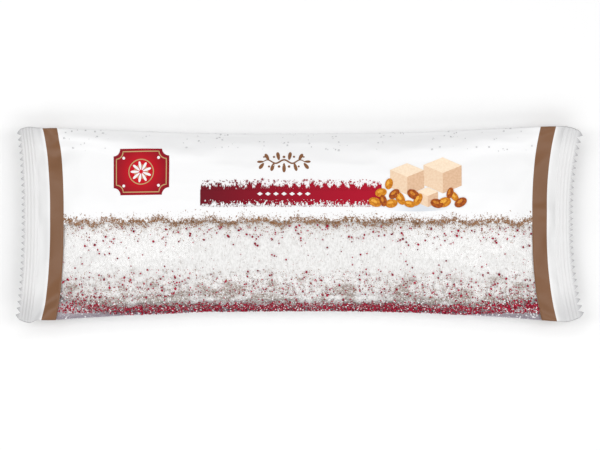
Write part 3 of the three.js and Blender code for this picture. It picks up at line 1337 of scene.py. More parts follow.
@dataclass(frozen=True)
class SugaredCrust:
    """Powdered sugar over a brown crust, with painted shade on its low side.

    Attributes:
        grey_patches_and_shade: The grey of the sugar's grey patches, partly its own grey and, towards the low
            side, painted shade.
        stretch: Scales a place, so that the fine hollows lie across the loaf.
        low_from: Where the painted shade of the low side starts, across the loaf.
        low_full: Where that painted shade is full.
        low_side_shade: How much it adds to the grey patches.
        relief: The height of the sugar's grain.
    """

    sugar: Colour = (0.86, 0.855, 0.845, 1)
    shaded_sugar: Colour = (0.745, 0.735, 0.72, 1)
    crust: Colour = (0.27, 0.20, 0.155, 1)
    # Partly painted shade: the grey of the sugar's patches, which also stand for shade on the low side.
    grey_patches_and_shade: Colour = (0.50, 0.47, 0.455, 1)
    stretch: tuple[float, float, float] = (1, 0.45, 0.45)
    low_from: float = -22 * MM
    low_full: float = -50 * MM
    low_side_shade: float = 0.15
    roughness: float = 0.9
    relief: float = 0.5 * MM

    def material(self) -> Material:
        """Makes the material, which reads where the crust is bare from the loaf's attribute."""
        material, nodes, surface = new_material("sugared_crust")
        place = nodes.node("TexCoord").outputs["Object"]
        drawn_out = nodes.feed(nodes.node("VectorMath", operation="MULTIPLY"), i0=place, i1=self.stretch)
        mottle = nodes.step(nodes.noise(drawn_out.outputs[0], 950.0, 5.0), 0.38, 0.58)
        powder = nodes.mix(mottle, self.shaded_sugar, self.sugar)
        across = nodes.feed(nodes.node("SeparateXYZ"), i0=place).outputs[1]
        # Painted shade: the grey patches spread towards the low side, which turns away from the light.
        low_side = nodes.math("MULTIPLY", nodes.step(across, self.low_from, self.low_full), self.low_side_shade)
        cloudy = nodes.math("ADD", nodes.noise(place, 420.0, 5.0), low_side)
        powder = nodes.mix(nodes.step(cloudy, 0.62, 0.80), powder, self.grey_patches_and_shade)
        bare = nodes.node("Attribute", attribute_name="bare").outputs["Fac"]
        grit = nodes.step(nodes.noise(place, 900.0, 3.0), 0.35, 0.62)
        shown = nodes.math("MULTIPLY", bare, nodes.math("SUBTRACT", 1.0, nodes.math("MULTIPLY", grit, 0.75)))
        bump = nodes.node("Bump")
        nodes.feed(bump, Strength=0.9, Distance=self.relief, Height=nodes.noise(place, 1100.0, 4.0))
        nodes.feed(surface, Base_Color=nodes.mix(shown, powder, self.crust), Roughness=self.roughness)
        nodes.feed(surface, Normal=bump.outputs[0])
        return material


@dataclass(frozen=True)
class Ink:
    """Printing ink that may change from one colour to another across the web.

    Attributes:
        name: The material's name.
        near: Its colour, at the centre of a change.
        far: Its colour away from there, or None where it doesn't change.
        centre: The centre, along and round the web.
        reach: How far from there it has wholly changed, or 0 for a change at random.
        slot: The record's material slot for its pieces; it is not used.
    """

    name: str
    near: Colour
    far: Colour | None = None
    centre: Place = (0.0, 0.0)
    reach: float = 0.0
    roughness: float = 0.42
    gloss: float = 0.12
    slot: str = "pale_print"

    def material(self, mottle: NodeTree, fade: NodeTree) -> Material:
        """Makes the material.

        Args:
            mottle: The group made by ink_mottle.
            fade: The group made by ink_fade.

        Returns:
            The material.
        """
        material, nodes, surface = new_material(self.name)
        nodes.feed(surface, Roughness=self.roughness, Specular_IOR_Level=self.gloss)
        if self.far is None:
            nodes.feed(surface, Base_Color=self.near)
            return material
        change = nodes.node("Group", node_tree=fade if self.reach else mottle)
        place = nodes.node("UVMap", uv_map=WEB_UV).outputs[0]
        nodes.feed(change, Place=place, Near=self.near, Far=self.far)
        if self.reach:
            nodes.feed(change, Centre=(*self.centre, 0.0), Reach=self.reach)
        nodes.feed(surface, Base_Color=change.outputs["Color"])
        return material


BROWN_INK = Ink("brown_ink", (0.25, 0.120, 0.060, 1), (0.34, 0.185, 0.100, 1), slot="brown_print")
PLAIN_BROWN_INK = Ink("plain_brown_ink", (0.22, 0.095, 0.042, 1), slot="brown_print")
GOLD_INK = Ink("gold_ink", (0.52, 0.33, 0.15, 1), slot="brown_print")
RED_INK = Ink("red_ink", (0.13, 0.003, 0.012, 1), (0.44, 0.009, 0.042, 1), slot="red_print")
WHITE_INK = Ink("white_ink", (0.84, 0.84, 0.85, 1))
GREY_INK = Ink("grey_ink", (0.56, 0.56, 0.565, 1), (0.70, 0.70, 0.71, 1))
PICTURE_INKS = {
    "print_cube_lit": Ink("paste_lit", (0.92, 0.76, 0.58, 1), (0.88, 0.70, 0.52, 1)),
    "print_cube_plain": Ink("paste_plain", (0.80, 0.58, 0.40, 1), (0.84, 0.64, 0.46, 1)),
    "print_cube_shaded": Ink("paste_shaded", (0.74, 0.50, 0.33, 1), (0.68, 0.44, 0.28, 1)),
    "print_raisins": Ink("raisin_ink", (0.66, 0.26, 0.02, 1), (0.48, 0.15, 0.01, 1)),
    "print_shine_on_raisins": Ink("raisin_shine", (0.84, 0.44, 0.07, 1), (0.76, 0.34, 0.04, 1)),
    "print_dark_raisins": Ink("dark_raisin_ink", (0.42, 0.10, 0.01, 1), (0.26, 0.05, 0.01, 1)),
    "print_shine_on_dark_raisins": Ink("dark_raisin_shine", (0.64, 0.24, 0.03, 1), (0.50, 0.16, 0.02, 1)),
}


def finish_piece(piece: Object, material: Material, replaces: bool = False) -> None:
    """Dresses a piece and ties it to the CAD model.

    Args:
        piece: The piece.
        material: Its material.
        replaces: True if it stands for the pack's CAD solid.
    """
    piece.data.materials.clear()
    piece.data.materials.append(material)
    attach(piece, BODY)
    if replaces:
        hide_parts(PACK_NODE)
    LOG.info("%s: %d faces", piece.name, len(piece.data.polygons))


# --- The print ---


def filled_outline(name: str, outline: Array, spacing: float = 0.0) -> Object:
    """Models a flat shape from its outline.

    Args:
        name: Its name.
        outline: One row of x and y for each corner, counterclockwise.
        spacing: The distance between its cuts, or 0 for none.

    Returns:
        The new object, facing up.
    """
    obj = start_primitive(
        bpy.ops.mesh.primitive_circle_add, name, vertices=len(outline), fill_type="NGON", radius=1
    )
    set_coordinates(obj, np.column_stack([outline, np.zeros(len(outline))]))
    if obj.data.polygons[0].normal.z < 0:
        edit_all(obj, bpy.ops.mesh.flip_normals)
    if spacing:
        low, high = outline.min(axis=0), outline.max(axis=0)
        for axis, normal in enumerate(((1.0, 0.0, 0.0), (0.0, 1.0, 0.0))):
            for at in np.arange(low[axis] + spacing, high[axis] - spacing / 4, spacing):
                cut = {"plane_co": [float(at) * part for part in normal], "plane_no": normal}
                edit_all(obj, lambda: bpy.ops.mesh.bisect(**cut))
    return obj


def ribbon(name: str, path: Array, widths: Array) -> Object:
    """Models a flat stroke along a path.

    Args:
        name: Its name.
        path: One row of x and y for each step.
        widths: The stroke's width at each step.

    Returns:
        The new object, facing up.
    """
    steps = len(path) - 1
    obj = start_grid(name, steps, 1)
    unit = coordinates(obj)
    step = np.rint((unit[:, 0] + 0.5) * steps).astype(int)
    ahead = np.gradient(path, axis=0)
    ahead /= np.linalg.norm(ahead, axis=1)[:, None]
    left = np.column_stack([-ahead[:, 1], ahead[:, 0]])
    flat = path[step] + left[step] * (np.sign(unit[:, 1]) * widths[step] / 2)[:, None]
    set_coordinates(obj, np.column_stack([flat, np.zeros(len(flat))]))
    return obj


def circle(corners: int, radius: float = 1.0) -> Array:
    """Lists the corners of a round outline about the origin, counterclockwise."""
    turns = np.linspace(0, 2 * math.pi, corners, endpoint=False)
    return np.column_stack([np.cos(turns), np.sin(turns)]) * radius


def joined(name: str, pieces: Sequence[Object]) -> Object:
    """Joins objects into the first of them and names it.

    Args:
        name: The name.
        pieces: The objects.

    Returns:
        The first, with the meshes of all.
    """
    spare = [piece.data for piece in pieces[1:]]
    select_only(pieces[0])
    for piece in pieces[1:]:
        piece.select_set(True)
    bpy.ops.object.join()
    for mesh in spare:
        bpy.data.meshes.remove(mesh)
    pieces[0].name = pieces[0].data.name = name
    return pieces[0]


@dataclass(frozen=True)
class Lot:
    """Grains that are strewn alike in a strip along the window, in millimetres.

    Attributes:
        count: How many.
        low: The strip's edge where they are densest.
        high: Its other edge.
        lean: How strongly they gather at the first, from 1 for not at all.
        radii: Their least and greatest radius.
    """

    count: int
    low: float
    high: float
    lean: float
    radii: Pair


@dataclass
class Grains:
    """Small flat grains of ink: where they lie, how large they are and how they are turned.

    Attributes:
        places: Their middles, along and round the web.
        radii: Half their length.
        slimness: Their width as a share of their length.
        turns: How far each is turned.
    """

    places: Array
    radii: Array
    slimness: Array
    turns: Array

    @classmethod
    def drawn(cls, rng: np.random.Generator, places: Array, radii: Pair, slimness: float = 0.6) -> "Grains":
        """Draws sizes and turns for grains at given places; small ones are more common."""
        count = len(places)
        size = radii[0] + (radii[1] - radii[0]) * rng.random(count) ** 2
        return cls(places, size, rng.uniform(slimness, 1, count), rng.uniform(0, 2 * math.pi, count))

    def __add__(self, other: "Grains") -> "Grains":
        """Puts two lots of grains together."""
        both = zip(vars(self).values(), vars(other).values())
        return Grains(*(np.concatenate(pair) for pair in both))

    def build(self, name: str, sides: int, thickness: float, arms: float = 1.0) -> Object:
        """Models one grain, copies it and lays the copies out flat.

        Args:
            name: The piece's name.
            sides: The corners of a grain.
            thickness: The thickness of the ink.
            arms: The radius of every second corner as a share of the first's, which makes a star.

        Returns:
            All the grains as one mesh.
        """
        obj = start_primitive(bpy.ops.mesh.primitive_cylinder_add, name, vertices=sides, radius=1, depth=1)
        grain = coordinates(obj)
        corner = np.rint(np.arctan2(grain[:, 0], grain[:, 1]) / (2 * math.pi / sides)).astype(int)
        grain[:, :2] *= np.where(corner % 2, arms, 1.0)[:, None]
        set_coordinates(obj, grain)
        apply_modifier(obj, "ARRAY", count=len(self.radii), use_relative_offset=False)
        copies = coordinates(obj).reshape(len(self.radii), -1, 3)
        x = copies[..., 0] * self.radii[:, None]
        y = copies[..., 1] * (self.radii * self.slimness)[:, None]
        cos, sin = np.cos(self.turns)[:, None], np.sin(self.turns)[:, None]
        flat = np.stack([x * cos - y * sin, x * sin + y * cos, copies[..., 2] * thickness], axis=2)
        flat[..., :2] += self.places[:, None, :]
        set_coordinates(obj, flat.reshape(-1, 3))
        return obj


@dataclass
class Press:
    """Prints on the film: lays flat pieces on it, strews grains over it and gives each piece its ink.

    Places are along and round the web, from the middle of the shown side.

    Attributes:
        pack: The film that carries the print.
        seed: The seed of every random draw.
        ink_depth: The thickness of the ink, which is enough to catch the light.
        lift: How far the lowest layer lies above the film.
        cut: The distance between cuts in a large field.
    """

    pack: FilmPack
    seed: int = 11
    ink_depth: float = 0.05 * MM
    lift: float = 0.11 * MM
    cut: float = 1.6 * MM

    def __post_init__(self) -> None:
        """Starts the random draws, and makes what the inks share."""
        self.rng = np.random.default_rng(self.seed)
        self.effects = ink_mottle(), ink_fade()
        self.mixed: dict[Ink, Material] = {}

    def ink(self, piece: Object, ink: Ink) -> None:
        """Gives a piece its ink, which is mixed when it is first used."""
        material = self.mixed.get(ink) or self.mixed.setdefault(ink, ink.material(*self.effects))
        finish_piece(piece, material)

    def lay(self, piece: Object, layer: int = 0, solid: bool = False) -> Object:
        """Lays a flat piece on the film.

        Args:
            piece: The piece.
            layer: How many layers of ink lie under it.
            solid: True if it already has a thickness.

        Returns:
            The piece.
        """
        self.pack.chart.lay(piece, self.lift + layer * 1.2 * self.ink_depth)
        if not solid:
            apply_modifier(piece, "SOLIDIFY", thickness=self.ink_depth, offset=0, use_even_offset=False)
        return piece

    def strew(self, name: str, grains: Grains, sides: int, layer: int = 0, arms: float = 1.0) -> Object:
        """Models grains of so many sides, or stars with arms, and lays them over so many layers of ink."""
        return self.lay(grains.build(name, sides, self.ink_depth, arms), layer, solid=True)

    def along_window(self, count: int, inside: float = 0.0) -> Array:
        """Draws places along the window, evenly over its length or up to a distance inside its ends."""
        half = self.pack.window_half - inside
        return self.pack.print_shift + self.rng.uniform(-half, half, count)

    def in_strip(self, count: int, low: float, high: float, lean: float = 1.0) -> Array:
        """Draws places between two lines along the window; a lean above 1 gathers them at the first."""
        along = self.along_window(count, 0.5 * MM)
        around = low + (high - low) * (1 - (1 - self.rng.random(count)) ** (1 / lean))
        return np.column_stack([along, around])

    def in_clumps(self, places: Array, size: float, share: float) -> Array:
        """Keeps the places in clumps of a given size, and thins out the rest by a share from 0 to 1."""
        height = np.array([noise.noise(Vector((x / size, y / size, 4.5))) for x, y in places])
        return places[self.rng.random(len(places)) > share * smoothstep(0.25, -0.25, height)]

    def stepped(self, path: Array) -> Array:
        """Puts further points on the long stretches of a path.

        Args:
            path: One row of x and y for each point.

        Returns:
            The path with points no further apart than a cut.
        """
        points = [path[:1]]
        for start, end in zip(path[:-1], path[1:]):
            steps = max(1, math.ceil(np.linalg.norm(end - start) / self.cut))
            points.append(start + (end - start) * (np.arange(1, steps + 1) / steps)[:, None])
        return np.concatenate(points)


@dataclass
class WindowPrint:
    """The brown garland over the window, and the grains, dots and crystals in it.

    Attributes:
        specks: The brown specks, from above the garland down to the window's foot.
        dots: The red dots: fine and large ones at the top, then in the middle and at the foot.
        band_top: The upper edge of the dense red band at the foot.
        band_rise: How far the band curves up at both ends.
        band_thinning: How much smaller its dots are at the left end.
    """

    press: Press
    specks: tuple[Lot, ...] = (
        Lot(620, 1.0, 6.5, 1.6, (0.10, 0.26)),
        Lot(1100, -2.5, -15.0, 2.4, (0.16, 0.50)),
        Lot(300, -12.0, -40.0, 1.0, (0.12, 0.30)),
        Lot(2300, -52.0, -32.0, 1.7, (0.14, 0.46)),
    )
    dots: tuple[Lot, ...] = (
        Lot(270, -3.5, -17.0, 2.1, (0.20, 0.70)),
        Lot(60, -3.5, -22.0, 1.9, (0.75, 1.10)),
        Lot(170, -12.0, -38.0, 1.0, (0.20, 0.80)),
        Lot(1100, -52.0, -32.0, 1.7, (0.18, 0.66)),
        Lot(80, -52.0, -34.0, 1.2, (0.75, 1.10)),
    )
    band_top: float = -54.5 * MM
    band_rise: float = 5.0 * MM
    band_thinning: float = 0.22

    def make(self) -> None:
        """Prints its pieces, each in its ink."""
        for model in (self._garland, self._brown_specks):
            self.press.ink(model(), BROWN_INK)
        for model in (self._red_dots, self._crystals):
            self.press.ink(model(), RED_INK)
        self.press.ink(self._white_sparks(), WHITE_INK)

    def _garland(self) -> Object:
        """Models the wavy line of brown grains."""
        rng = self.press.rng
        along = self.press.along_window(9800)
        middle = -1.0 + 1.5 * (along / self.press.pack.window_half) ** 2
        middle += 1.0 * np.sin(along / (5.3 * MM) + 0.7) + 0.7 * np.sin(along / (2.9 * MM) + 2)
        spread = np.where(rng.random(len(along)) < 0.75, 1.25, 2.6)
        around = (middle + rng.normal(0, spread)) * MM
        core = self.press.in_clumps(np.column_stack([along, around]), 2.0 * MM, 0.6)
        grains = Grains.drawn(rng, core, (0.35 * MM, 1.05 * MM), 0.20)
        grains.slimness *= 0.45
        return self.press.strew("print_brown_garland", grains, 4)

    def _drawn(self, lot: Lot, slimness: float) -> Grains:
        """Draws the grains of a lot, whose least width is a share of their length."""
        places = self.press.in_strip(lot.count, lot.low * MM, lot.high * MM, lot.lean)
        return Grains.drawn(self.press.rng, places, (lot.radii[0] * MM, lot.radii[1] * MM), slimness)

    def _brown_specks(self) -> Object:
        """Models the finest brown grains, above the garland and down over the window."""
        lots = [self._drawn(lot, 0.5) for lot in self.specks]
        return self.press.strew("print_brown_specks", sum(lots[1:], lots[0]), 5)

    def _red_dots(self) -> Object:
        """Models the red dots, which gather to a dense band at the window's foot."""
        press = self.press
        low = press.pack.window_bottom + 0.8 * MM
        along = press.along_window(8300)
        height = self.band_top - low
        around = press.rng.normal(0.36 * self.band_top + 0.64 * low, 0.25 * height, len(along))
        band = np.column_stack([along, around])
        band = press.in_clumps(band[band[:, 1] > low], 2.2 * MM, 0.75)
        band = np.concatenate([band, press.in_strip(1100, low, low + 7.2 * MM, 1.2)])
        band[:, 1] += self.band_rise * smoothstep(100 * MM, 155 * MM, np.abs(band[:, 0]))
        dots = Grains.drawn(press.rng, band, (0.30 * MM, 0.98 * MM), 0.5)
        dots.radii *= 1 - self.band_thinning * smoothstep(-90 * MM, -140 * MM, band[:, 0])
        for lot in self.dots:
            dots += self._drawn(lot, 0.8)
        return press.strew("print_red_dots", dots, 5, layer=1)

    def _crystals(self) -> Object:
        """Models the few six-armed crystals among the dots."""
        upper = self.press.in_strip(34, -3 * MM, -16 * MM)
        lower = self.press.in_strip(90, -54 * MM, -36 * MM, 1.5)
        places = np.concatenate([upper, lower])
        stars = Grains.drawn(self.press.rng, places, (0.55 * MM, 1.05 * MM), 0.9)
        return self.press.strew("print_red_crystals", stars, 12, layer=2, arms=0.34)

    def _white_sparks(self) -> Object:
        """Models the white grains that sparkle in the red band."""
        low = self.press.pack.window_bottom + 2.0 * MM
        places = self.press.in_strip(2600, low, self.band_top + 6 * MM)
        places = self.press.in_clumps(places, 2.2 * MM, 0.6)
        sparks = Grains.drawn(self.press.rng, places, (0.18 * MM, 0.62 * MM), 0.5)
        return self.press.strew("print_white_sparks", sparks, 5, layer=3)


@dataclass
class Banner:
    """The red banner, its fringes of frost, and the white crystals and lozenges on it.

    Attributes:
        ends: Its left and its right end.
        edges: Its lower and its upper edge.
        reds: Its red at the upper right corner and far from there.
        fade: How far from there it is wholly changed.
        row_middle: The middle of the row of lozenges, along the web.
        row_rise: How far it lies above the banner's middle.
        row_pitch: From one lozenge to the next.
        each_way: How many lie on each side of the middle one.
        lozenge: Half the length and height of one.
    """

    press: Press
    ends: Pair = (-65.0 * MM, 58 * MM)
    edges: Pair = (9.8 * MM, 20.8 * MM)
    reds: tuple[Colour, Colour] = ((0.40, 0.004, 0.022, 1), (0.11, 0.003, 0.010, 1))
    fade: float = 150 * MM
    row_middle: float = -8.5 * MM
    row_rise: float = 2.2 * MM
    row_pitch: float = 5.4 * MM
    each_way: int = 3
    lozenge: Place = (1.9 * MM, 1.25 * MM)

    def make(self) -> None:
        """Prints its pieces, each in its ink."""
        press, (left, right), (low, high) = self.press, self.ends, self.edges
        red = Ink("banner_ink", *self.reds, (right, high), self.fade, slot="red_print")
        corners = np.array([(left, low), (right, low), (right, high), (left, high)])
        plate = press.lay(filled_outline("print_banner", corners, press.cut))
        fringe = self._frost("print_banner_frost", high - 0.3 * MM, 1.0, 6.9 * MM, 700, 1)
        foot = self._frost("print_banner_foot", low + 0.3 * MM, -1.0, 1.3 * MM, 420, 1)
        bites = self._frost("print_banner_bites", low - 0.4 * MM, 1.0, 4.2 * MM, 330, 3)
        for piece in (plate, fringe, foot):
            press.ink(piece, red)
        for piece in (bites, self._lozenges()):
            press.ink(piece, WHITE_INK)

    def _frost(self, name: str, edge: float, way: float, reach: float, count: int, layer: int) -> Object:
        """Models needles of frost that grow from an edge, with crystals and dots among them.

        Args:
            name: The piece's name.
            edge: The edge, round the web.
            way: 1 to grow upwards, -1 downwards.
            reach: The height of the longest needle.
            count: How many needles.
            layer: How many layers of ink lie under them.

        Returns:
            The piece.
        """
        rng, depth = self.press.rng, self.press.ink_depth
        start, end = self.ends[0] + 0.6 * MM, self.ends[1] - 0.6 * MM
        along = rng.uniform(start, end, count)
        wave = np.array([noise.noise(Vector((x / (3.0 * MM), way, layer))) for x in along])
        height = reach * (0.28 + 0.72 * smoothstep(-0.30, 0.45, wave)) * rng.uniform(0.35, 1, count)
        middles = np.column_stack([along, edge + way * 0.4 * height])
        slimness = rng.uniform(0.14, 0.30, count)
        needles = Grains(middles, 0.6 * height, slimness, rng.normal(math.pi / 2, 0.30, count))
        along = rng.uniform(start, end, count)
        places = np.column_stack([along, edge + way * reach * rng.random(count) ** 1.3])
        stars = Grains.drawn(rng, places[: count // 5], (0.35 * MM, 0.22 * reach), 0.8)
        specks = Grains.drawn(rng, places[count // 5 :], (0.14 * MM, 0.48 * MM), 0.6)
        pieces = [needles.build("needles", 4, depth), stars.build("stars", 12, depth, 0.36)]
        pieces.append(specks.build("specks", 6, depth))
        return self.press.lay(joined(name, pieces), layer, solid=True)

    def _lozenges(self) -> Object:
        """Models the row of lozenges."""
        right, up = np.diag(self.lozenge)
        middle = np.array([self.row_middle, sum(self.edges) / 2 + self.row_rise])
        row = [middle + (step * self.row_pitch, 0) for step in range(-self.each_way, self.each_way + 1)]
        lozenges = [filled_outline("lozenge", np.array([right, up, -right, -up]) + at) for at in row]
        return self.press.lay(joined("print_banner_lozenges", lozenges), 2)


def petal(root: Array, turn: float, inner: float, outer: float, width: float) -> Object:
    """Models one petal or leaf.

    Args:
        root: The point that it points away from.
        turn: Its direction, in radians.
        inner: Where it starts, from there.
        outer: Where it ends.
        width: Its width.

    Returns:
        The petal.
    """
    oval = circle(14)
    along = (inner + outer) / 2 + (outer - inner) / 2 * oval[:, 0]
    across = width / 2 * oval[:, 1] * (0.8 + 0.2 * oval[:, 0])
    x = along * math.cos(turn) - across * math.sin(turn)
    y = along * math.sin(turn) + across * math.cos(turn)
    return filled_outline("petal", np.column_stack([x, y]) + root)


@dataclass
class Label:
    """The red label with scooped corners, its gold line, and a rosette in a gold ring.

    Attributes:
        reds: Its red in the middle and far from there.
        fade: How far from there it is wholly changed.
        scoop: The radius of its hollow corners.
        inset: How far its gold line lies inside its edge.
        stroke: The width of the gold line and the ring.
        dot_at: The dots near the corners, from its middle.
    """

    press: Press
    middle: Place = (-105.8 * MM, 33.6 * MM)
    size: Place = (39 * MM, 32 * MM)
    reds: tuple[Colour, Colour] = ((0.60, 0.002, 0.012, 1), (0.22, 0.003, 0.012, 1))
    fade: float = 24 * MM
    scoop: float = 5 * MM
    inset: float = 2 * MM
    stroke: float = 0.7 * MM
    ring: float = 8.6 * MM
    petals: int = 9
    dot_at: Place = (12.2 * MM, 9.6 * MM)

    def make(self) -> None:
        """Prints its pieces, each in its ink."""
        press = self.press
        plate = press.lay(filled_outline("print_label", self._scooped(0), press.cut))
        line = self._scooped(self.inset)
        line = press.stepped(np.concatenate([line, line[:2]]))
        ring = np.concatenate([circle(48), circle(1)]) * self.ring + self.middle
        gold = [ribbon("gold", path, np.full(len(path), self.stroke)) for path in (line, ring)]
        middle, step = np.array(self.middle), 2 * math.pi / self.petals
        turns = np.arange(self.petals)
        gold += [petal(middle, k * step, 3.0 * MM, 5.2 * MM, 0.9 * MM) for k in turns]
        white = [petal(middle, (k + 0.5) * step, 1.2 * MM, 7.4 * MM, 2.2 * MM) for k in turns]
        for side in ((-1, -1), (-1, 1), (1, -1), (1, 1)):
            spot = np.array(side) * self.dot_at + middle
            white.append(filled_outline("dot", circle(12, 1.0 * MM) + spot))
        press.ink(plate, Ink("label_ink", *self.reds, self.middle, self.fade, slot="red_print"))
        press.ink(press.lay(joined("print_label_gold", gold), 2), GOLD_INK)
        press.ink(press.lay(joined("print_label_rosette", white), 1), WHITE_INK)

    def _scooped(self, inset: float) -> Array:
        """Outlines the label.

        Args:
            inset: How far inside its edge the outline lies.

        Returns:
            One row of x and y for each corner.
        """
        half = (np.array(self.size) - 2 * inset) / 2
        points = []
        for sx, sy, start in ((1, 1, -90), (-1, 1, 0), (-1, -1, 90), (1, -1, 180)):
            angles = np.radians(start - 90 * np.arange(9) / 8)
            hollow = self.scoop * np.column_stack([np.cos(angles), np.sin(angles)])
            points.append(half * (sx, sy) + hollow)
        return np.concatenate(points) + self.middle


@dataclass
class Snow:
    """The faint grey snow along the upper edge of the pack, but none on the label.

    Attributes:
        count: How many flakes are drawn, before they are thinned out.
        over_edge: How far round the side fold it starts.
        depth: How far down it reaches.
        label_margin: How far it keeps from the label.
    """

    press: Press
    label: Label
    count: int = 470
    over_edge: float = 8 * MM
    depth: float = 27 * MM
    label_margin: float = 1 * MM

    def make(self) -> None:
        """Prints it."""
        press, label = self.press, self.label
        half, edge = press.pack.window_half, press.pack.web.width / 2
        along = press.pack.print_shift + 0.98 * press.rng.uniform(-half, half, self.count)
        around = edge + self.over_edge - self.depth * press.rng.random(len(along)) ** 1.15
        below = around < label.middle[1] + label.size[1] / 2 + self.label_margin
        on_label = below & (np.abs(along - label.middle[0]) < label.size[0] / 2 + self.label_margin)
        places = press.in_clumps(np.column_stack([along, around])[~on_label], 9 * MM, 1.0)
        flakes = Grains.drawn(press.rng, places, (0.26 * MM, 0.95 * MM), 0.75)
        press.ink(press.strew("print_grey_snow", flakes, 8), GREY_INK)


@dataclass
class Sprig:
    """The brown sprig above the banner: a waving stem with leaves to both ends, and berries between them.

    Attributes:
        each_way: How many leaves stand on each side of the middle one.
    """

    press: Press
    middle: Place = (-8.5 * MM, 40.0 * MM)
    length: float = 36 * MM
    each_way: int = 4

    def make(self) -> None:
        """Prints it."""
        half, middle = self.length / 2, np.array(self.middle)
        share = np.linspace(-1, 1, 81)
        stem = np.column_stack([share * (half - 4 * MM), 1.3 * MM * np.cos(share * 2.5 * math.pi)])
        strokes = [ribbon("stem", stem + middle, MM * (1.15 - 0.6 * share ** 2))]
        for step in range(-self.each_way, self.each_way + 1):
            way = 1 if step % 2 else -1
            along = step / self.each_way * (half - 4.5 * MM)
            lean = way * math.radians(90 - 9 * step)
            root = middle + (along, 0.9 * MM * way)
            strokes.append(petal(root, lean, 0.2 * MM, 6.8 * MM - 0.35 * MM * abs(step), 2.9 * MM))
            berry = circle(12) * (0.95 - 0.08 * abs(step)) * MM
            strokes.append(filled_outline("berry", berry + (middle + (along, -3.6 * MM * way))))
        for side in (0, math.pi):
            root = middle + (math.cos(side) * (half - 4.4 * MM), 0)
            strokes.append(petal(root, side, 0, 4.6 * MM, 2.2 * MM))
        self.press.ink(self.press.lay(joined("print_sprig", strokes)), PLAIN_BROWN_INK)


@dataclass
class BackFrames:
    """The two empty framed panels on the back.

    Attributes:
        half: Half the length and height of each.
        corner: The radius of its corners.
        stagger: How far each lies off the pack's middle, along it.
        beside_seam: How far its middle line lies from the seam.
    """

    press: Press
    half: Place = (110 * MM, 17 * MM)
    corner: float = 4 * MM
    stroke: float = 0.8 * MM
    stagger: float = 20 * MM
    beside_seam: float = 34 * MM

    def make(self) -> None:
        """Prints them."""
        corners = []
        for sx, sy, start in ((1, 1, 0), (-1, 1, 90), (-1, -1, 180), (1, -1, 270)):
            angles = np.radians(start + 15 * np.arange(7))
            turned = self.corner * np.column_stack([np.cos(angles), np.sin(angles)])
            corners.append(np.array([sx, sy]) * (np.array(self.half) - self.corner) + turned)
        outline = np.concatenate(corners)
        outline = self.press.stepped(np.concatenate([outline, outline[:1]]))
        frames = []
        for side in (-1, 1):
            middle = (-side * self.stagger, self.press.pack.web.width - side * self.beside_seam)
            frames.append(ribbon("frame", outline + middle, np.full(len(outline), self.stroke)))
        self.press.ink(self.press.lay(joined("print_back_frames", frames)), PLAIN_BROWN_INK)


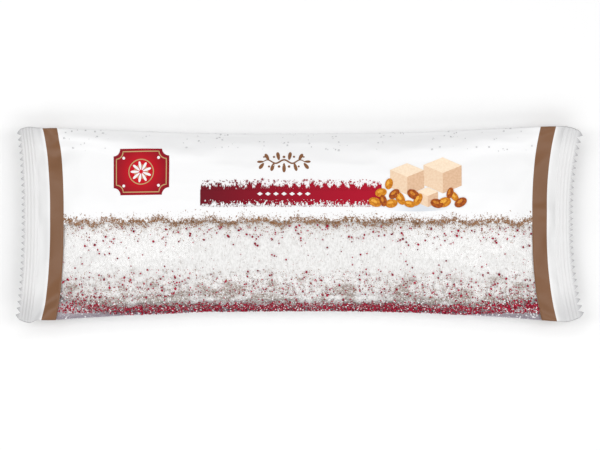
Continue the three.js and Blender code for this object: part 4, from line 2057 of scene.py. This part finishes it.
@dataclass
class Sweets:
    """The picture of almond-paste cubes and golden raisins, with the shadow under them.

    Attributes:
        cubes: The middle and the edge of each cube, in millimetres.
        edges: How three edges of a cube run from its middle.
        raisins: The middle of each light raisin, in millimetres, and its turn in degrees.
        dark_raisins: The same for the dark ones.
        raisin_length: Half the length of the smallest and the largest raisin, in millimetres.
        shadow_at: The middle of the shadow.
        shadow_half: Half the length of each of its two ovals.
        shadow_greys: Its tone in the middle and at its edge.
    """

    press: Press
    cubes: tuple[Spot, ...] = ((99.5, 32.5, 15.2), (75.0, 29.5, 13.4), (89.0, 16.6, 8.2))
    edges: tuple[Place, ...] = ((0.87, 0.36), (-0.87, 0.36), (0.0, -0.92))
    raisins: tuple[Spot, ...] = (
        (53, 12, 160), (57, 18.5, 15), (64, 11.2, 10), (70, 14.8, 120), (76.5, 11.0, 170),
        (82.2, 14.0, 60), (100.5, 12.5, 20), (107.5, 16.6, 130), (62.5, 24.5, 75),
    )
    dark_raisins: tuple[Spot, ...] = (
        (58.5, 13.0, 100), (66, 17.6, 40), (79, 17.5, 150), (95.3, 11.6, 165), (104.5, 18.8, 70),
        (112, 12.6, 30),
    )
    raisin_length: Pair = (3.9, 4.9)
    shadow_at: Place = (84.0 * MM, 9.5 * MM)
    shadow_half: Pair = (25.0 * MM, 20.0 * MM)
    shadow_greys: tuple[Colour, Colour] = ((0.66, 0.69, 0.74, 1), (0.84, 0.85, 0.87, 1))

    def make(self) -> None:
        """Prints its pieces, each in its ink."""
        grey = Ink("shadow_ink", *self.shadow_greys, self.shadow_at, 24 * MM)
        places = np.array([(0.0, -0.1), (0.0, 0.1)]) * MM + self.shadow_at
        ovals = Grains(places, np.array(self.shadow_half), np.full(2, 0.13), np.full(2, 0.03))
        pieces = [*self._cubes(), self.press.strew("print_shadow", ovals, 32)]
        pieces += self._heap("raisins", self.raisins, 5)
        pieces += self._heap("dark_raisins", self.dark_raisins, 6)
        for piece in pieces:
            self.press.ink(piece, PICTURE_INKS.get(piece.name, grey))

    def _heap(self, name: str, raisins: Sequence[Spot], layer: int) -> list[Object]:
        """Models raisins and the shine on them.

        Args:
            name: What they are called.
            raisins: The raisins.
            layer: How many layers of ink lie under them.

        Returns:
            The raisins and their shine.
        """
        rng, count = self.press.rng, len(raisins)
        at, turns = np.array(raisins)[:, :2] * MM, np.radians(np.array(raisins)[:, 2])
        size = rng.uniform(*self.raisin_length, count) * MM
        skins = Grains(at, size, rng.uniform(0.56, 0.72, count), turns)
        shine = Grains(at + (-0.6 * MM, 0.7 * MM), size * 0.5, np.full(count, 0.42), turns)
        return [
            self.press.strew("print_" + name, skins, 20, layer),
            self.press.strew("print_shine_on_" + name, shine, 12, layer + 1),
        ]

    def _cubes(self) -> list[Object]:
        """Models the cubes.

        Returns:
            Their lit tops, their plain sides and their shaded sides, a piece each.
        """
        faces: dict[str, list[Object]] = {}
        for x, y, size in self.cubes:
            middle = np.array([x, y]) * MM
            across, away, down = np.array(self.edges) * size * MM
            sides = (("lit", across, away), ("plain", away, down), ("shaded", down, across))
            for tone, first, second in sides:
                outline = middle + np.array([0 * first, first, first + second, second])
                faces.setdefault(tone, []).append(filled_outline(tone, outline, self.press.cut))
        return [self.press.lay(joined("print_cube_" + tone, parts), 1) for tone, parts in faces.items()]


def print_film(pack: FilmPack) -> None:
    """Prints all its parts on the film, in an order that counts, because they draw at random in turn."""
    press = Press(pack)
    label = Label(press)
    later = (Sprig(press), BackFrames(press), Sweets(press))
    for part in (WindowPrint(press), Snow(press, label), Banner(press), label, *later):
        part.make()


# --- The studio ---


@dataclass(frozen=True)
class Lamp:
    """A soft lamp that faces the pack.

    Attributes:
        name: Its name.
        place: Its middle.
        size: Its width and height.
        power: Its power, in watts.
    """

    name: str
    place: tuple[float, float, float]
    size: Pair
    power: float


@dataclass
class Studio:
    """A pale floor, soft light, and a camera that looks down on the pack.

    Attributes:
        elevation: The camera's height above the horizon, in degrees.
        frame_width: The width of the picture at the pack.
        aim: The point that it looks at.
        lens: Its focal length, in millimetres.
        sky: The strength of the light from all round.
        floor_tones: The two tones that the floor changes between.
    """

    elevation: float = 86.0
    frame_width: float = 404.5 * MM
    aim: tuple[float, float, float] = (-0.15 * MM, -2 * MM, 14 * MM)
    lens: float = 180.0
    lamps: tuple[Lamp, ...] = (
        Lamp("back", (-0.20, 0.75, 1.05), (1.1, 0.4), 3.0),
        Lamp("front", (0.25, -0.85, 0.85), (1.3, 0.6), 4.7),
        Lamp("left", (-0.80, 0.05, 1.00), (0.6, 1.2), 5.2),
        Lamp("right", (0.80, 0.05, 1.00), (0.6, 1.2), 4.6),
    )
    sky: float = 0.42
    floor_tones: tuple[Colour, Colour] = ((0.90, 0.90, 0.90, 1), (0.93, 0.93, 0.93, 1))

    def build(self) -> None:
        """Makes the floor, the lights and the camera."""
        self._floor()
        for lamp in self.lamps:
            self._light(lamp)
        self._world()
        self._camera()

    def _floor(self) -> None:
        """Makes the floor."""
        floor = start_primitive(bpy.ops.mesh.primitive_plane_add, "floor", size=8)
        material, nodes, surface = new_material("pale_floor")
        place = nodes.node("TexCoord").outputs["Object"]
        tone = nodes.step(nodes.noise(place, 1.5), 0.3, 0.7)
        nodes.feed(surface, Base_Color=nodes.mix(tone, *self.floor_tones), Roughness=0.8)
        floor.data.materials.append(material)

    def _light(self, lamp: Lamp) -> None:
        """Adds a lamp to the scene."""
        data = bpy.data.lights.new(lamp.name, "AREA")
        data.shape = "RECTANGLE"
        data.size, data.size_y = lamp.size
        data.energy = lamp.power
        self._aimed(lamp.name, data, Vector(lamp.place))

    def _aimed(self, name: str, data: ID, place: Vector) -> Object:
        """Adds a lamp or a camera, turned to the point that the camera looks at.

        Args:
            name: Its name.
            data: The lamp or the camera.
            place: Where it stands.

        Returns:
            The new object.
        """
        obj = bpy.data.objects.new(name, data)
        bpy.context.scene.collection.objects.link(obj)
        obj.location = place
        obj.rotation_mode = "QUATERNION"
        obj.rotation_quaternion = (Vector(self.aim) - place).to_track_quat("-Z", "Y")
        return obj

    def _world(self) -> None:
        """Sets the even light that comes from all round."""
        world = bpy.data.worlds.new("studio")
        bpy.context.scene.world = world
        world.use_nodes = True
        background = world.node_tree.nodes["Background"]
        background.inputs["Color"].default_value = (1, 1, 1, 1)
        background.inputs["Strength"].default_value = self.sky
        bpy.context.scene.view_settings.view_transform = "Standard"

    def _camera(self) -> None:
        """Makes the camera and sets it as the scene's."""
        camera = bpy.data.cameras.new("camera")
        camera.lens = self.lens
        distance = self.frame_width * self.lens / camera.sensor_width
        angle = math.radians(self.elevation)
        back = Vector((0, -math.cos(angle), math.sin(angle)))
        bpy.context.scene.camera = self._aimed("camera", camera, Vector(self.aim) + back * distance)


# --- The whole ---


def main() -> None:
    """Builds the pack in order."""
    logging.basicConfig(level=logging.INFO, format="%(message)s")
    low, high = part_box(PACK_NODE)
    web = Web(length=(high[0] - low[0]) * LENGTH_TAKEN_UP, width=(high[1] - low[1]) * WIDTH_TAKEN_UP)
    loaf = Loaf()
    chart = FilmPouch(web).settle(loaf)
    pack = FilmPack(chart)
    film, window = pack.build()
    creases = film_creases()
    finish_piece(film, PrintedFilm().material(pack, creases), replaces=True)
    finish_piece(window, ClearFilm().material(creases), replaces=True)
    finish_piece(pack.back_seam(), SeamFilm().material(creases))
    finish_piece(loaf.build(chart), SugaredCrust().material())
    print_film(pack)
    Studio().build()
    bpy.context.scene.frame_set(1)


if __name__ == "__main__":
    main()
